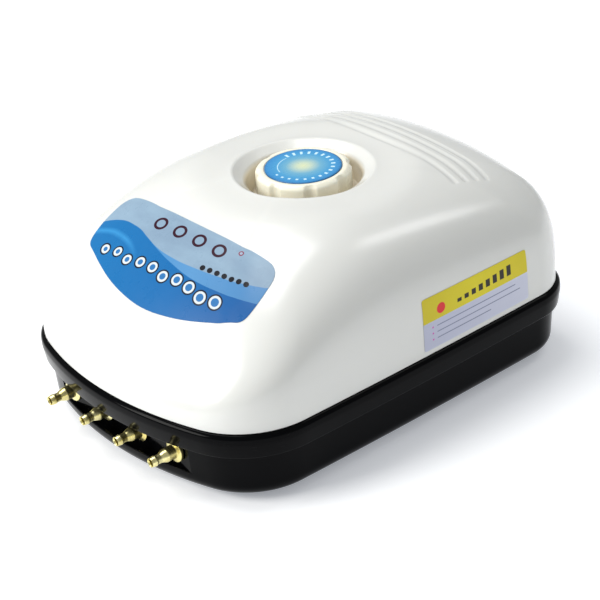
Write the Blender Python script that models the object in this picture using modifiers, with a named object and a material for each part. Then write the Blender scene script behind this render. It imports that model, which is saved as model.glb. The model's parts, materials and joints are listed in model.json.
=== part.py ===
"""Four-outlet diaphragm air pump for ponds and aquariums. Metres, +Z up, outlets towards -Y."""
import math
import bpy
import bmesh
import numpy as np
from mathutils import Matrix, Vector

# ---- driving dimensions (drawn with z = 0 at the base's underside, moved at the end) ----
GAP = 0.0003                       # clearance between touching pieces
HALF_W = 0.0700                    # cover half width at the parting line
FRONT_Y, REAR_Y = -0.0907, 0.0930  # cover front and rear at the parting line
R_FRONT, R_SIDE, R_REAR = 0.1555, 3.05, 0.485
FILLET_F, FILLET_R = 0.0327, 0.0217
PART_Z = 0.0293                    # parting plane between base and cover
CENTRE = (0.0, 0.0118)             # knob axis, also the centre of the cover's rings
CROWN = 0.0879                     # height of the cover's crown
COVER_T = 0.0024                   # wall thickness of the cover
DISH_R, WELL_R, WELL_FLOOR = 0.0278, 0.0225, 0.0716
DIP_R, DIP = 0.0470, 0.0021          # the crown sinks softly towards the dish from this radius
KNOB_R, KNOB_TOP, DIAL_R = 0.0187, 0.0846, 0.0150
FLUTES, FLUTE_R, FLUTE_OUT, FLUTE_TURN = 8, 0.0034, 0.0022, 0.18
RIM_Z, RIM_OUT = 0.0195, 0.0018    # underside of the rim, and how far it stands out
BASE_FILLET = 0.0065
FLOOR_T = 0.0025
FOOT_H = 0.0020                    # how far the rubber feet stand below the base
PANEL_Y, PANEL_HALF, PANEL_Z0, PANEL_Z1 = -0.0835, 0.0395, 0.0072, 0.0193
OUTLET_PITCH, OUTLET_Z, OUTLET_TIP = 0.0210, 0.0145, -0.0960
SCREWS = ((-0.052, -0.040), (0.052, -0.040), (-0.050, 0.066), (0.050, 0.066))
FEET = ((-0.040, -0.060), (0.040, -0.060), (-0.036, 0.074), (0.036, 0.074))
AXLE_Z = 0.034                     # height of the diaphragms, magnets and core
PUMP_Y = -0.030                    # the diaphragms' common axis
CORE_Y = 0.012
PIVOT = (0.03125, 0.056)           # swing arm pivot, mirrored for the other arm
BOARD_Z = 0.0570

for ob in list(bpy.data.objects):
    bpy.data.objects.remove(ob, do_unlink=True)
scene = bpy.context.scene
PARTS = bpy.data.collections.new("air_pump")
CUTTERS = bpy.data.collections.new("cutters")
scene.collection.children.link(PARTS)
scene.collection.children.link(CUTTERS)


# ---------------------------------------------------------------- helpers
def material(name, rgb, rough, metal=0.0):
    mat = bpy.data.materials.new(name)
    mat.use_nodes = True
    bsdf = mat.node_tree.nodes["Principled BSDF"]
    bsdf.inputs["Base Color"].default_value = (*rgb, 1)
    bsdf.inputs["Roughness"].default_value = rough
    bsdf.inputs["Metallic"].default_value = metal
    mat.diffuse_color = (*rgb, 1)
    return mat


LOOKS = {
    "gloss_white": ((0.86, 0.85, 0.80), 0.18, 0), "gloss_black": ((0.012, 0.012, 0.015), 0.15, 0),
    "rubber": ((0.02, 0.02, 0.022), 0.7, 0), "brass": ((0.80, 0.63, 0.25), 0.25, 1),
    "steel": ((0.60, 0.60, 0.62), 0.3, 1), "iron": ((0.30, 0.31, 0.33), 0.5, 1),
    "magnet": ((0.10, 0.10, 0.11), 0.45, 0), "copper": ((0.72, 0.36, 0.16), 0.35, 1),
    "nylon": ((0.75, 0.74, 0.68), 0.45, 0), "silicone": ((0.70, 0.72, 0.72), 0.35, 0),
    "felt": ((0.62, 0.62, 0.58), 0.95, 0), "board": ((0.03, 0.20, 0.08), 0.4, 0),
    "print_blue": ((0.25, 0.47, 0.66), 0.3, 0), "print_yellow": ((0.86, 0.72, 0.10), 0.35, 0),
    "dial_blue": ((0.16, 0.42, 0.70), 0.3, 0), "pot_grey": ((0.25, 0.26, 0.28), 0.4, 0),
}


def finish(ob, look, group=PARTS, smooth=30.0):
    """Link, give the object its own material and shade it."""
    for col in list(ob.users_collection):
        col.objects.unlink(ob)
    group.objects.link(ob)
    if group is CUTTERS:
        ob.hide_render = True
        ob.display_type = "WIRE"
        return ob
    rgb, rough, metal = LOOKS[look]
    ob.data.materials.clear()
    ob.data.materials.append(material(ob.name, rgb, rough, metal))
    if smooth and ob.type == "MESH":
        ob.data.shade_smooth()
        ob.data.set_sharp_from_angle(angle=math.radians(smooth))
    return ob


def mesh_object(name, verts, faces, look, origin=(0, 0, 0), group=PARTS, edges=(), smooth=30.0):
    mesh = bpy.data.meshes.new(name)
    o = Vector(origin)
    mesh.from_pydata([Vector(v) - o for v in verts], list(edges), faces)
    mesh.update()
    ob = bpy.data.objects.new(name, mesh)
    ob.location = o
    PARTS.objects.link(ob)
    if faces:
        bm = bmesh.new()
        bm.from_mesh(mesh)
        bmesh.ops.recalc_face_normals(bm, faces=bm.faces)
        bm.to_mesh(mesh)
        bm.free()
    return finish(ob, look, group, smooth)


def solid(name, boxes=(), rods=(), look="nylon", origin=None, group=PARTS, bevel=0.0):
    """Boxes (x0, x1, y0, y1, z0, z1) and rods (centre, radius, length, axis, sides) in one mesh."""
    bm = bmesh.new()
    for x0, x1, y0, y1, z0, z1 in boxes:
        made = bmesh.ops.create_cube(bm, size=1.0)["verts"]
        bmesh.ops.scale(bm, vec=(x1 - x0, y1 - y0, z1 - z0), verts=made)
        bmesh.ops.translate(bm, vec=((x0 + x1) / 2, (y0 + y1) / 2, (z0 + z1) / 2), verts=made)
    for centre, radius, length, axis, sides in rods:
        made = bmesh.ops.create_cone(bm, cap_ends=True, segments=sides, radius1=radius,
                                     radius2=radius, depth=length)["verts"]
        turn = {"X": Matrix.Rotation(math.pi / 2, 3, "Y"), "Y": Matrix.Rotation(math.pi / 2, 3, "X"),
                "Z": Matrix.Identity(3)}[axis]
        bmesh.ops.rotate(bm, cent=(0, 0, 0), matrix=turn, verts=made)
        bmesh.ops.translate(bm, vec=centre, verts=made)
    if origin is None:
        pts = [v.co for v in bm.verts]
        origin = [(min(p[i] for p in pts) + max(p[i] for p in pts)) / 2 for i in range(3)]
    bmesh.ops.translate(bm, vec=-Vector(origin), verts=bm.verts)
    mesh = bpy.data.meshes.new(name)
    bm.to_mesh(mesh)
    bm.free()
    ob = bpy.data.objects.new(name, mesh)
    ob.location = origin
    PARTS.objects.link(ob)
    finish(ob, look, group)
    if bevel:
        mod = ob.modifiers.new("bevel", "BEVEL")
        mod.width = bevel
        mod.segments = 2
        mod.limit_method = "ANGLE"
    return ob


def lathe(name, profile, look, origin=(0, 0, 0), axis="Z", steps=32, closed=False, group=PARTS):
    """Turn a profile of (radius, height) pairs; it runs top to bottom down the outer side."""
    pts = [(r, 0, h) for r, h in profile]
    edges = [(i, i + 1) for i in range(len(pts) - 1)]
    if closed:
        edges.append((len(pts) - 1, 0))
    mesh = bpy.data.meshes.new(name)
    mesh.from_pydata(pts, edges, [])
    ob = bpy.data.objects.new(name, mesh)
    ob.location = origin
    ob.rotation_euler = {"Z": (0, 0, 0), "X": (0, math.pi / 2, 0), "-X": (0, -math.pi / 2, 0),
                         "Y": (-math.pi / 2, 0, 0), "-Y": (math.pi / 2, 0, 0)}[axis]
    PARTS.objects.link(ob)
    mod = ob.modifiers.new("turn", "SCREW")
    mod.axis = "Z"
    mod.angle = math.tau
    mod.steps = mod.render_steps = steps
    mod.use_merge_vertices = True
    mod.merge_threshold = 0.00001
    mod.use_normal_calculate = False
    finish(ob, look, group, smooth=0)
    if group is PARTS:
        mod.use_smooth_shade = True
    return ob


def boolean(ob, tool, kind):
    mod = ob.modifiers.new(kind.lower(), "BOOLEAN")
    mod.operation = kind
    mod.solver = "EXACT"
    mod.object = tool
    return ob


def cut(ob, tool):
    return boolean(ob, tool, "DIFFERENCE")


def fuse(ob, tool):
    return boolean(ob, tool, "UNION")


def tool(name, boxes=(), rods=()):
    return solid(name, boxes, rods, group=CUTTERS)


def tube_profile(r_out, r_in, z0, z1):
    return [(r_in, z1), (r_out, z1), (r_out, z0), (r_in, z0)]


# ---------------------------------------------------------------- cover outline and dome
def circle_meet(c0, r0, c1, r1, key):
    d = c1 - c0
    dist = np.hypot(*d)
    a = (r0 * r0 - r1 * r1 + dist * dist) / (2 * dist)
    h = math.sqrt(max(r0 * r0 - a * a, 0.0))
    m, n = c0 + a * d / dist, np.array([-d[1], d[0]]) / dist
    return max((m + h * n, m - h * n), key=key)


def outline(count):
    """Parting-line outline: front, side and rear arcs joined by fillets; points and normals."""
    c_f, c_s = np.array([0, FRONT_Y + R_FRONT]), np.array([HALF_W - R_SIDE, 0.0])
    c_r = np.array([0, REAR_Y - R_REAR])
    c1 = circle_meet(c_f, R_FRONT - FILLET_F, c_s, R_SIDE - FILLET_F, lambda q: q[0] - q[1])
    c2 = circle_meet(c_r, R_REAR - FILLET_R, c_s, R_SIDE - FILLET_R, lambda q: q[0] + q[1])

    def angle(c, q):
        return math.atan2(q[1] - c[1], q[0] - c[0])

    def arc(c, r, a0, a1, n):
        t = np.linspace(a0, a1, n)
        return np.stack([c[0] + r * np.cos(t), c[1] + r * np.sin(t)], 1)[:-1]

    f, s1, s2, r = angle(c_f, c1), angle(c_s, c1), angle(c_s, c2), angle(c_r, c2)
    half = np.concatenate([arc(c_f, R_FRONT, -math.pi / 2, f, 80), arc(c1, FILLET_F, f, s1, 80),
                           arc(c_s, R_SIDE, s1, s2, 120), arc(c2, FILLET_R, s2, r, 60),
                           arc(c_r, R_REAR, r, math.pi / 2, 80), [[0.0, REAR_Y]]])
    mirror = half[-2:0:-1] * np.array([-1, 1])
    dense = np.concatenate([half, mirror])
    step = np.roll(dense, -1, 0) - dense
    turn = np.abs(np.diff(np.unwrap(np.arctan2(step[:, 1], step[:, 0])), append=0.0))
    turn[-1] = 0.0
    length = np.hypot(*step.T)
    weight = np.concatenate([[0], np.cumsum(length / length.sum() + 0.7 * turn / turn.sum())])
    t = np.linspace(0, weight[-1], count, endpoint=False)
    loop = np.vstack([dense, dense[:1]])
    pts = np.stack([np.interp(t, weight, loop[:, i]) for i in (0, 1)], 1)
    tan = np.roll(pts, -1, 0) - np.roll(pts, 1, 0)
    nrm = np.stack([tan[:, 1], -tan[:, 0]], 1)
    return pts, nrm / np.hypot(*nrm.T)[:, None]


COLS = 60
RIM, NORMAL = outline(COLS)
DX2, DY2 = NORMAL[:, 0] ** 2, NORMAL[:, 1] ** 2
IS_FRONT = NORMAL[:, 1] < 0


def fullness(front, side, rear, corner_f, corner_r):
    """Exponent of the dome's section, blended round the outline."""
    return side * DX2 + np.where(IS_FRONT, front, rear) * DY2 \
        + np.where(IS_FRONT, corner_f, corner_r) * 4 * DX2 * DY2


E_IN = fullness(3.15, 5.42, 7.09, 0.86, -0.95)
E_UP = fullness(3.24, 4.80, 6.80, 0.86, -0.95)


def crown(x, y):
    """Height of the crown sheet the dome rises to, in decimetre polynomials."""
    u, v = x * 10, (y + 0.0017) * 10
    fall = np.where(v < 0, 4.826 * v ** 2 + 0.72 * v ** 4, 1.427 * v ** 2 + 0.038 * v ** 4)
    return CROWN - (2.097 * u ** 2 + 0.646 * u ** 4) / 100 - fall / 100


def dome_ring(share, inset=0.0):
    """One ring of the dome; share 0 is the parting line, 1 is the edge of the knob's dish."""
    rim = RIM - NORMAL * inset
    rel = rim - np.array(CENTRE)
    radius = np.hypot(*rel.T)
    end = np.arccos((DISH_R / radius) ** (E_IN / 2))
    phi = end * share
    r = np.cos(phi) ** (2 / E_IN)
    up = np.sin(phi) ** (2 / E_UP)
    x, y = CENTRE[0] + rel[:, 0] * r, CENTRE[1] + rel[:, 1] * r
    t = np.clip((DIP_R - radius * r) / (DIP_R - DISH_R), 0, 1)
    sink = t * t * (3 - 2 * t) * DIP
    z = PART_Z + GAP + (crown(x, y) - inset - PART_Z - GAP) * up - sink
    return np.stack([x, y, z], 1)


def lip_ring(reach, inset=0.0):
    """Ring of the dome that lies at one distance from the knob's axis."""
    radius = np.hypot(*(RIM - NORMAL * inset - np.array(CENTRE)).T)
    share = np.arccos((reach / radius) ** (E_IN / 2)) / np.arccos((DISH_R / radius) ** (E_IN / 2))
    return dome_ring(share, inset)


def circle_ring(radius, z):
    rel = RIM - np.array(CENTRE)
    k = radius / np.hypot(*rel.T)
    return np.stack([CENTRE[0] + rel[:, 0] * k, CENTRE[1] + rel[:, 1] * k,
                     np.full(COLS, z)], 1)


def offset_ring(d, z):
    return np.concatenate([RIM + NORMAL * d, np.full((COLS, 1), z)], 1)


def skin(name, rings, look, closed=False, caps=(False, False), origin=(0, 0, 0), smooth=30.0):
    """Quads between successive rings; closed joins the last ring to the first."""
    n = len(rings[0])
    verts = np.concatenate(rings)
    faces = []
    last = len(rings) if closed else len(rings) - 1
    for k in range(last):
        a, b = k * n, (k + 1) % len(rings) * n
        faces += [(a + i, a + (i + 1) % n, b + (i + 1) % n, b + i) for i in range(n)]
    if caps[0]:
        faces.append(tuple(range(n)))
    if caps[1]:
        faces.append(tuple(range((len(rings) - 1) * n, len(rings) * n)))
    return mesh_object(name, verts.tolist(), faces, look, origin, smooth=smooth)


# ---------------------------------------------------------------- cover
outer = [dome_ring(s) for s in np.linspace(0, 1, 11)[:-1] ** 1.35]
outer += [lip_ring(r) for r in (0.0410, 0.0370, 0.0335, 0.0305, DISH_R)]
inner = [dome_ring(s, COVER_T) for s in np.linspace(0, 1, 8)[:-1] ** 1.35]
inner += [lip_ring(r, COVER_T) for r in (0.0370, 0.0325, DISH_R)]
mouth = KNOB_TOP - 0.0035
well = [circle_ring(WELL_R + 0.0012, mouth + 0.0002), circle_ring(WELL_R, mouth - 0.0008),
        circle_ring(WELL_R - 0.0004, WELL_FLOOR + 0.0012), circle_ring(WELL_R - 0.0016, WELL_FLOOR),
        circle_ring(0.0040, WELL_FLOOR), circle_ring(0.0040, WELL_FLOOR - COVER_T),
        circle_ring(WELL_R + 0.0012, WELL_FLOOR - COVER_T),
        circle_ring(WELL_R + 0.0022, WELL_FLOOR - COVER_T + 0.0012),
        circle_ring(WELL_R + 0.0024, mouth - COVER_T - 0.0008)]
top_cover = skin("top_cover", outer + well + inner[::-1], "gloss_white", closed=True, smooth=35)


def dome_height(x, y, depth):
    """Height of the cover's mid-wall over a point, from the rings of the crown."""
    best = None
    for s in np.linspace(0.05, 1.0, 120):
        ring = dome_ring(s, depth)
        i = int(np.argmin((ring[:, 0] - x) ** 2 + (ring[:, 1] - y) ** 2))
        d = math.hypot(ring[i, 0] - x, ring[i, 1] - y)
        if best is None or d < best[0]:
            best = (d, float(ring[i, 2]))
    return best[1]


def cover_post(name, x, y, r=0.0040, sides=12):
    """Screw post whose top follows the inside of the dome, halfway into the wall."""
    ring = [(x + r * math.cos(math.tau * k / sides), y + r * math.sin(math.tau * k / sides))
            for k in range(sides)]
    verts = [(px, py, PART_Z + 0.0010) for px, py in ring]
    verts += [(px, py, dome_height(px, py, COVER_T * 0.6)) for px, py in ring]
    verts.append((x, y, dome_height(x, y, COVER_T * 0.6)))
    faces = [tuple(range(sides))[::-1]]
    for k in range(sides):
        n = (k + 1) % sides
        faces += [(k, n, sides + n, sides + k), (sides + k, sides + n, 2 * sides)]
    return mesh_object(name, verts, faces, "gloss_white", group=CUTTERS)


for k, (sx, sy) in enumerate(SCREWS):
    fuse(top_cover, cover_post(f"cover_post_{k + 1}", sx, sy))
cut(top_cover, tool("post_pilots", rods=[((sx, sy, PART_Z + 0.0065), 0.0016, 0.0150, "Z", 16)
                                         for sx, sy in SCREWS]))

# ---------------------------------------------------------------- base tray
rings = []
for k in range(4):
    a = math.radians(-90 + 30 * k)
    rings.append(offset_ring(-0.0087 + BASE_FILLET * math.cos(a),
                             BASE_FILLET * (1 + math.sin(a))))
for d, z in ((-0.0012, RIM_Z), (0.0007, RIM_Z), (0.0012, RIM_Z + 0.0007), (RIM_OUT, 0.0262),
             (0.0016, 0.0280), (0.0010, 0.0290), (0.0002, PART_Z), (-0.0028, PART_Z),
             (-0.0028, 0.0325), (-0.0044, 0.0325), (-0.0050, 0.0090), (-0.0070, 0.0042),
             (-0.0110, FLOOR_T)):
    rings.append(offset_ring(d, z))
base_tray = skin("base_tray", rings, "gloss_black", caps=(True, True), smooth=35)
# block behind the outlet recess, its front inside the curved wall
lane = np.linspace(-PANEL_HALF - 0.0025, PANEL_HALF + 0.0025, 15)
plan = [(x, FRONT_Y + 0.0034 + x * x / (2 * R_FRONT)) for x in lane]
plan += [(PANEL_HALF + 0.0025, PANEL_Y + FLOOR_T), (-PANEL_HALF - 0.0025, PANEL_Y + FLOOR_T)]
m = len(plan)
fuse(base_tray, mesh_object(
    "panel_block", [(x, y, z) for z in (0.0042, 0.0216) for x, y in plan],
    [tuple(range(m)), tuple(range(m, 2 * m))]
    + [(i, (i + 1) % m, m + (i + 1) % m, m + i) for i in range(m)], "gloss_black", group=CUTTERS))
boxes = [(-0.0250, 0.0250, 0.0330, 0.0640, 0.0010, 0.0105)]
for s in (-1, 1):
    x0, x1 = sorted((s * 0.0172, s * 0.0214))
    boxes.append((x0, x1, CORE_Y - 0.013, CORE_Y + 0.013, 0.0010, AXLE_Z - 0.0100 - GAP))
for k, b in enumerate(boxes):
    fuse(base_tray, tool(f"base_block_{k + 1}", boxes=[b]))
rods = [((sx, sy, PART_Z / 2 + 0.0005), 0.0045, PART_Z - 0.0010, "Z", 16) for sx, sy in SCREWS]
rods += [((s * PIVOT[0], PIVOT[1], 0.0122), 0.0050, 0.0224, "Z", 16) for s in (-1, 1)]
for k, rod in enumerate(rods):
    fuse(base_tray, tool(f"base_boss_{k + 1}", rods=[rod]))
holes = [((sx, sy, 0.0150), 0.0018, 0.0400, "Z", 12) for sx, sy in SCREWS]
holes += [((sx, sy, 0.0020), 0.0034, 0.0120, "Z", 16) for sx, sy in SCREWS]
holes += [((s * PIVOT[0], PIVOT[1], 0.0165), 0.0018, 0.0180, "Z", 12) for s in (-1, 1)]
holes += [((s * 0.0193, CORE_Y + s * 0.0100, 0.0180), 0.0015, 0.0130, "Z", 12) for s in (-1, 1)]
OUTLET_X = [(i - 1.5) * OUTLET_PITCH for i in range(4)]
holes += [((x, PANEL_Y, OUTLET_Z), 0.0028, 0.0120, "Y", 14) for x in OUTLET_X]
GLAND_X, GLAND_Z = 0.0, 0.0125
holes += [((GLAND_X, REAR_Y - 0.002, GLAND_Z), 0.0051, 0.0160, "Y", 20)]
holes += [((fx, fy, 0.0), 0.0060, 0.0024, "Z", 20) for fx, fy in FEET]
for k, rod in enumerate(holes):
    cut(base_tray, tool(f"base_hole_{k + 1}", rods=[rod]))
cut(base_tray, tool("panel_recess", boxes=[(-PANEL_HALF, PANEL_HALF, -0.1200, PANEL_Y,
                                            PANEL_Z0, PANEL_Z1)]))
FILTER = (-0.0200, 0.0200, 0.0370, 0.0600)
cut(base_tray, tool("filter_pocket", boxes=[(*FILTER, -0.0020, 0.0082)]))
cut(base_tray, tool("filter_port", rods=[((0.0, 0.0485, 0.0090), 0.0040, 0.0080, "Z", 24)]))

# ---------------------------------------------------------------- underside pieces
for k, (fx, fy) in enumerate(FEET):
    lathe(f"rubber_foot_{k + 1}", [(0, 0.0009), (0.0057, 0.0009), (0.0057, -0.0008),
                                   (0.0052, -0.0016), (0.0044, -FOOT_H), (0, -FOOT_H)],
          "rubber", (fx, fy, 0), steps=18)
for k, (sx, sy) in enumerate(SCREWS):
    lathe(f"cover_screw_{k + 1}", [(0, 0.0420), (0.0008, 0.0418), (0.0013, 0.0405), (0.0013, 0.0078),
                                   (0.0030, 0.0076), (0.0031, 0.0052), (0.0024, 0.0046),
                                   (0.0010, 0.0046), (0.0009, 0.0056), (0, 0.0056)],
          "steel", (sx, sy, 0), steps=12)
fx0, fx1, fy0, fy1 = FILTER
filter_felt = solid("filter_felt", [(fx0 + GAP, fx1 - GAP, fy0 + GAP, fy1 - GAP, 0.0028, 0.0079)],
                    look="felt", bevel=0.0006)
filter_cover = solid("filter_cover", [(fx0 + GAP, fx1 - GAP, fy0 + GAP, fy1 - GAP, 0.0003, 0.0025)],
                     look="gloss_black", bevel=0.0004)
cut(filter_cover, tool("filter_slots", boxes=[
    (x - 0.0010, x + 0.0010, fy0 + 0.0035, fy1 - 0.0035, -0.0020, 0.0040)
    for x in np.linspace(-0.0150, 0.0150, 7)]))
lathe("cord_gland", [(0.0032, 0.0030), (0.0060, 0.0030), (0.0067, 0.0022), (0.0067, 0.0007),
                     (0.0048, 0.0006), (0.0048, -0.0052), (0.0064, -0.0054), (0.0060, -0.0068),
                     (0.0032, -0.0068)], "rubber", (GLAND_X, REAR_Y - 0.0016, GLAND_Z), "Y",
      steps=20, closed=True)

# ---------------------------------------------------------------- outlets and air manifold
TUBE = OUTLET_TIP - PANEL_Y        # how far the barb stands out, negative
for k, x in enumerate(OUTLET_X):
    lathe(f"outlet_barb_{k + 1}", [
        (0.0014, -TUBE), (0.0018, -TUBE), (0.0021, -TUBE - 0.0020), (0.0018, -TUBE - 0.0026),
        (0.0018, -TUBE - 0.0044), (0.0027, -TUBE - 0.0070), (0.0027, 0.0020), (0.0045, 0.0016),
        (0.0045, GAP), (0.0025, GAP), (0.0025, -0.0100), (0.0014, -0.0100)],
        "brass", (x, PANEL_Y, OUTLET_Z), "-Y", steps=16, closed=True)
    nut = solid(f"outlet_nut_{k + 1}", rods=[((x, PANEL_Y + FLOOR_T + GAP + 0.00125, OUTLET_Z),
                                              0.0048, 0.0025, "Y", 6)], look="brass")
    cut(nut, tool(f"nut_bore_{k + 1}", rods=[((x, PANEL_Y, OUTLET_Z), 0.0028, 0.0200, "Y", 14)]))
MAN_Y, MAN_R, MAN_BORE = -0.0712, 0.0060, 0.0041
manifold = solid("air_manifold", rods=[((0, MAN_Y, OUTLET_Z), MAN_R, 0.0800, "X", 16)], look="silicone")
cut(manifold, tool("manifold_bore", rods=[((0, MAN_Y, OUTLET_Z), MAN_BORE, 0.0900, "X", 16)]))
for k, x in enumerate(OUTLET_X):
    cut(manifold, tool(f"manifold_port_{k + 1}",
                       rods=[((x, MAN_Y - 0.0050, OUTLET_Z), 0.0028, 0.0080, "Y", 14)]))

# ---------------------------------------------------------------- the two pump halves
for s, side in ((-1, "left"), (1, "right")):
    axis = "X" if s > 0 else "-X"
    here = (0, PUMP_Y, AXLE_Z)
    # chamber: a ring wall with a web across it, so it is a cup on both faces
    chamber = lathe(f"pump_chamber_{side}", [
        (0, 0.0150), (0.0150, 0.0150), (0.0150, 0.0225), (0.0180, 0.0225), (0.0180, 0.0080),
        (0.0160, 0.0080), (0.0160, 0.0125), (0, 0.0125)], "nylon", here, axis, steps=20)
    x0, x1 = sorted((s * 0.0083, s * 0.0130))
    fuse(chamber, tool(f"rib_{side}", boxes=[(x0, x1, PUMP_Y - 0.0008, PUMP_Y + 0.0008,
                                              AXLE_Z - 0.0165, AXLE_Z + 0.0165)]))
    x0, x1 = sorted((s * 0.0090, s * 0.0215))
    fuse(chamber, tool(f"chamber_foot_{side}", boxes=[(x0, x1, PUMP_Y - 0.0080, PUMP_Y + 0.0080,
                                                       FLOOR_T + GAP, AXLE_Z - 0.0165)]))
    fuse(chamber, tool(f"spigot_{side}", rods=[((s * 0.01025, PUMP_Y - 0.0208, AXLE_Z), 0.0021,
                                                0.0080, "Y", 12)]))
    cut(chamber, tool(f"spigot_bore_{side}", rods=[((s * 0.01025, PUMP_Y - 0.0220, AXLE_Z), 0.0012,
                                                    0.0180, "Y", 16)]))
    stems, ports = [], []
    for dy in (-0.0075, 0.0075):
        stems.append(((s * 0.01375, PUMP_Y + dy, AXLE_Z), 0.0013, 0.0060, "X", 12))
        for j in range(3):
            a = math.tau * j / 3 + 0.5
            ports.append(((s * 0.01375, PUMP_Y + dy + 0.0027 * math.cos(a),
                           AXLE_Z + 0.0027 * math.sin(a)), 0.0008, 0.0060, "X", 8))
    cut(chamber, tool(f"valve_ports_{side}", rods=stems + ports))
    # umbrella valves: the inlet opens into the chamber, the outlet opens away from it
    umbrella = [(0, 0.0012), (0.0030, 0.0009), (0.0043, 0.0002), (0.0042, 0.0), (0.0010, 0.0),
                (0.0010, -0.0031), (0.0017, -0.0036), (0.0016, -0.0044), (0, -0.0050)]
    lathe(f"inlet_valve_{side}", umbrella, "rubber",
          (s * (0.0150 + GAP), PUMP_Y + 0.0075, AXLE_Z), axis, steps=12)
    lathe(f"outlet_valve_{side}", umbrella, "rubber",
          (s * (0.0125 - GAP), PUMP_Y - 0.0075, AXLE_Z), "-X" if s > 0 else "X", steps=12)
    plate = lathe(f"valve_cover_{side}", [(0, 0.0077), (0.0180, 0.0077), (0.0180, 0.0063),
                                          (0.0172, 0.0055), (0, 0.0055)],
                  "nylon", here, axis, steps=20)
    cut(plate, tool(f"intake_{side}", rods=[((s * 0.0066, PUMP_Y + 0.0085, AXLE_Z), 0.0030, 0.0060,
                                             "X", 20)]))
    # rubber diaphragm with one rolled convolution, clamped by a ring
    lathe(f"diaphragm_{side}", [
        (0.0018, 0.0297), (0.0058, 0.0297), (0.0060, 0.0260), (0.0092, 0.0258), (0.0112, 0.0278),
        (0.0126, 0.0284), (0.0140, 0.0276), (0.0150, 0.0245), (0.0178, 0.0242), (0.0178, 0.0228),
        (0.0142, 0.0228), (0.0126, 0.0267), (0.0096, 0.0244), (0.0018, 0.0243)], "rubber", here, axis, steps=20,
        closed=True)
    lathe(f"diaphragm_ring_{side}", tube_profile(0.0180, 0.0155, 0.0247, 0.0266), "nylon", here,
          axis, steps=20, closed=True)
    # rivet: a disc inside the chamber, a stem through diaphragm and arm, a head outside the arm
    lathe(f"diaphragm_rivet_{side}", [
        (0, 0.0340), (0.0018, 0.0340), (0.0026, 0.0334), (0.0027, 0.0328), (0.0012, 0.0328),
        (0.0012, 0.0240), (0.0084, 0.0240), (0.0086, 0.0234), (0.0080, 0.0226), (0.0030, 0.0224),
        (0, 0.0224)], "steel", here, axis, steps=16)
    # swing arm with its eye on the pivot, the magnet, the rubber bush and the pin
    px, py = s * PIVOT[0], PIVOT[1]
    x0, x1 = sorted((s * 0.0300, s * 0.0325))
    arm = solid(f"swing_arm_{side}", [(x0, x1, -0.0385, PIVOT[1] - 0.0045, AXLE_Z - 0.0070,
                                       AXLE_Z + 0.0070)], look="steel", origin=(px, py, AXLE_Z))
    fuse(arm, tool(f"arm_eye_{side}", rods=[((px, py, AXLE_Z), 0.0060, 0.0200, "Z", 20)]))
    cut(arm, tool(f"eye_bore_{side}", rods=[((px, py, AXLE_Z), 0.0042, 0.0300, "Z", 20)]))
    cut(arm, tool(f"arm_hole_{side}", rods=[((px, PUMP_Y, AXLE_Z), 0.0015, 0.0100, "X", 12)]))
    x0, x1 = sorted((s * 0.0247, s * 0.0297))
    solid(f"arm_magnet_{side}", [(x0, x1, CORE_Y - 0.0085, CORE_Y + 0.0085, AXLE_Z - 0.0085,
                                  AXLE_Z + 0.0085)], look="magnet", bevel=0.0008)
    lathe(f"pivot_bush_{side}", tube_profile(0.0039, 0.00158, -0.0098, 0.0098), "rubber",
          (px, py, AXLE_Z), steps=16, closed=True)
    lathe(f"pivot_pin_{side}", [(0, 0.0116), (0.0022, 0.0116), (0.0029, 0.0110), (0.0029, 0.0103),
                                (0.0015, 0.0103), (0.0015, -0.0255), (0.0010, -0.0260),
                                (0, -0.0260)], "steel", (px, py, AXLE_Z), steps=16)
    # hose from the chamber's spigot round to the end of the manifold
    curve = bpy.data.curves.new(f"air_hose_{side}", "CURVE")
    curve.dimensions = "3D"
    spline = curve.splines.new("NURBS")
    path = [(0.01025, -0.0492, 0.0340), (0.01025, -0.0530, 0.0340), (0.01025, -0.0570, 0.0340),
            (0.01025, -0.0610, 0.0340), (0.0130, -0.0670, 0.0350), (0.0260, -0.0680, 0.0350),
            (0.0430, -0.0680, 0.0330), (0.0530, -0.0690, 0.0250),
            (0.0520, -0.0712, 0.0150), (0.0440, -0.0712, 0.0145), (0.0360, -0.0712, 0.0145)]
    spline.points.add(len(path) - 1)
    for pt, (hx, hy, hz) in zip(spline.points, path):
        pt.co = (s * hx, hy, hz, 1)
    spline.order_u = 4
    spline.use_endpoint_u = True
    spline.resolution_u = 2
    curve.bevel_depth = 0.0038
    curve.bevel_resolution = 1
    curve.use_fill_caps = False
    hose = bpy.data.objects.new(f"air_hose_{side}", curve)
    PARTS.objects.link(hose)
    finish(hose, "silicone")
    wall = hose.modifiers.new("wall", "SOLIDIFY")
    wall.thickness = 0.0012
    wall.offset = -1
    wall.use_rim = True

# ---------------------------------------------------------------- electromagnet
core = solid("laminated_core", [(-0.0175, 0.0175, CORE_Y - 0.0060, CORE_Y + 0.0060,
                                 AXLE_Z - 0.0060, AXLE_Z + 0.0060)], look="iron")
for s in (-1, 1):
    x0, x1 = sorted((s * 0.0164, s * 0.0222))
    fuse(core, tool(f"pole_{'left' if s < 0 else 'right'}",
                    boxes=[(x0, x1, CORE_Y - 0.0130, CORE_Y + 0.0130, AXLE_Z - 0.0100,
                            AXLE_Z + 0.0100)]))
for k, s in enumerate((-1, 1)):
    sx, sy = s * 0.0193, CORE_Y + s * 0.0100
    cut(core, tool(f"core_hole_{k + 1}", rods=[((sx, sy, AXLE_Z), 0.0015, 0.0300, "Z", 16)]))
    lathe(f"core_screw_{k + 1}", [(0, 0.0460), (0.0018, 0.0460), (0.0026, 0.0454), (0.0026, 0.0443),
                                  (0.0012, 0.0443), (0.0012, 0.0136), (0.0008, 0.0130),
                                  (0, 0.0130)], "steel", (sx, sy, 0), steps=12)
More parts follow.
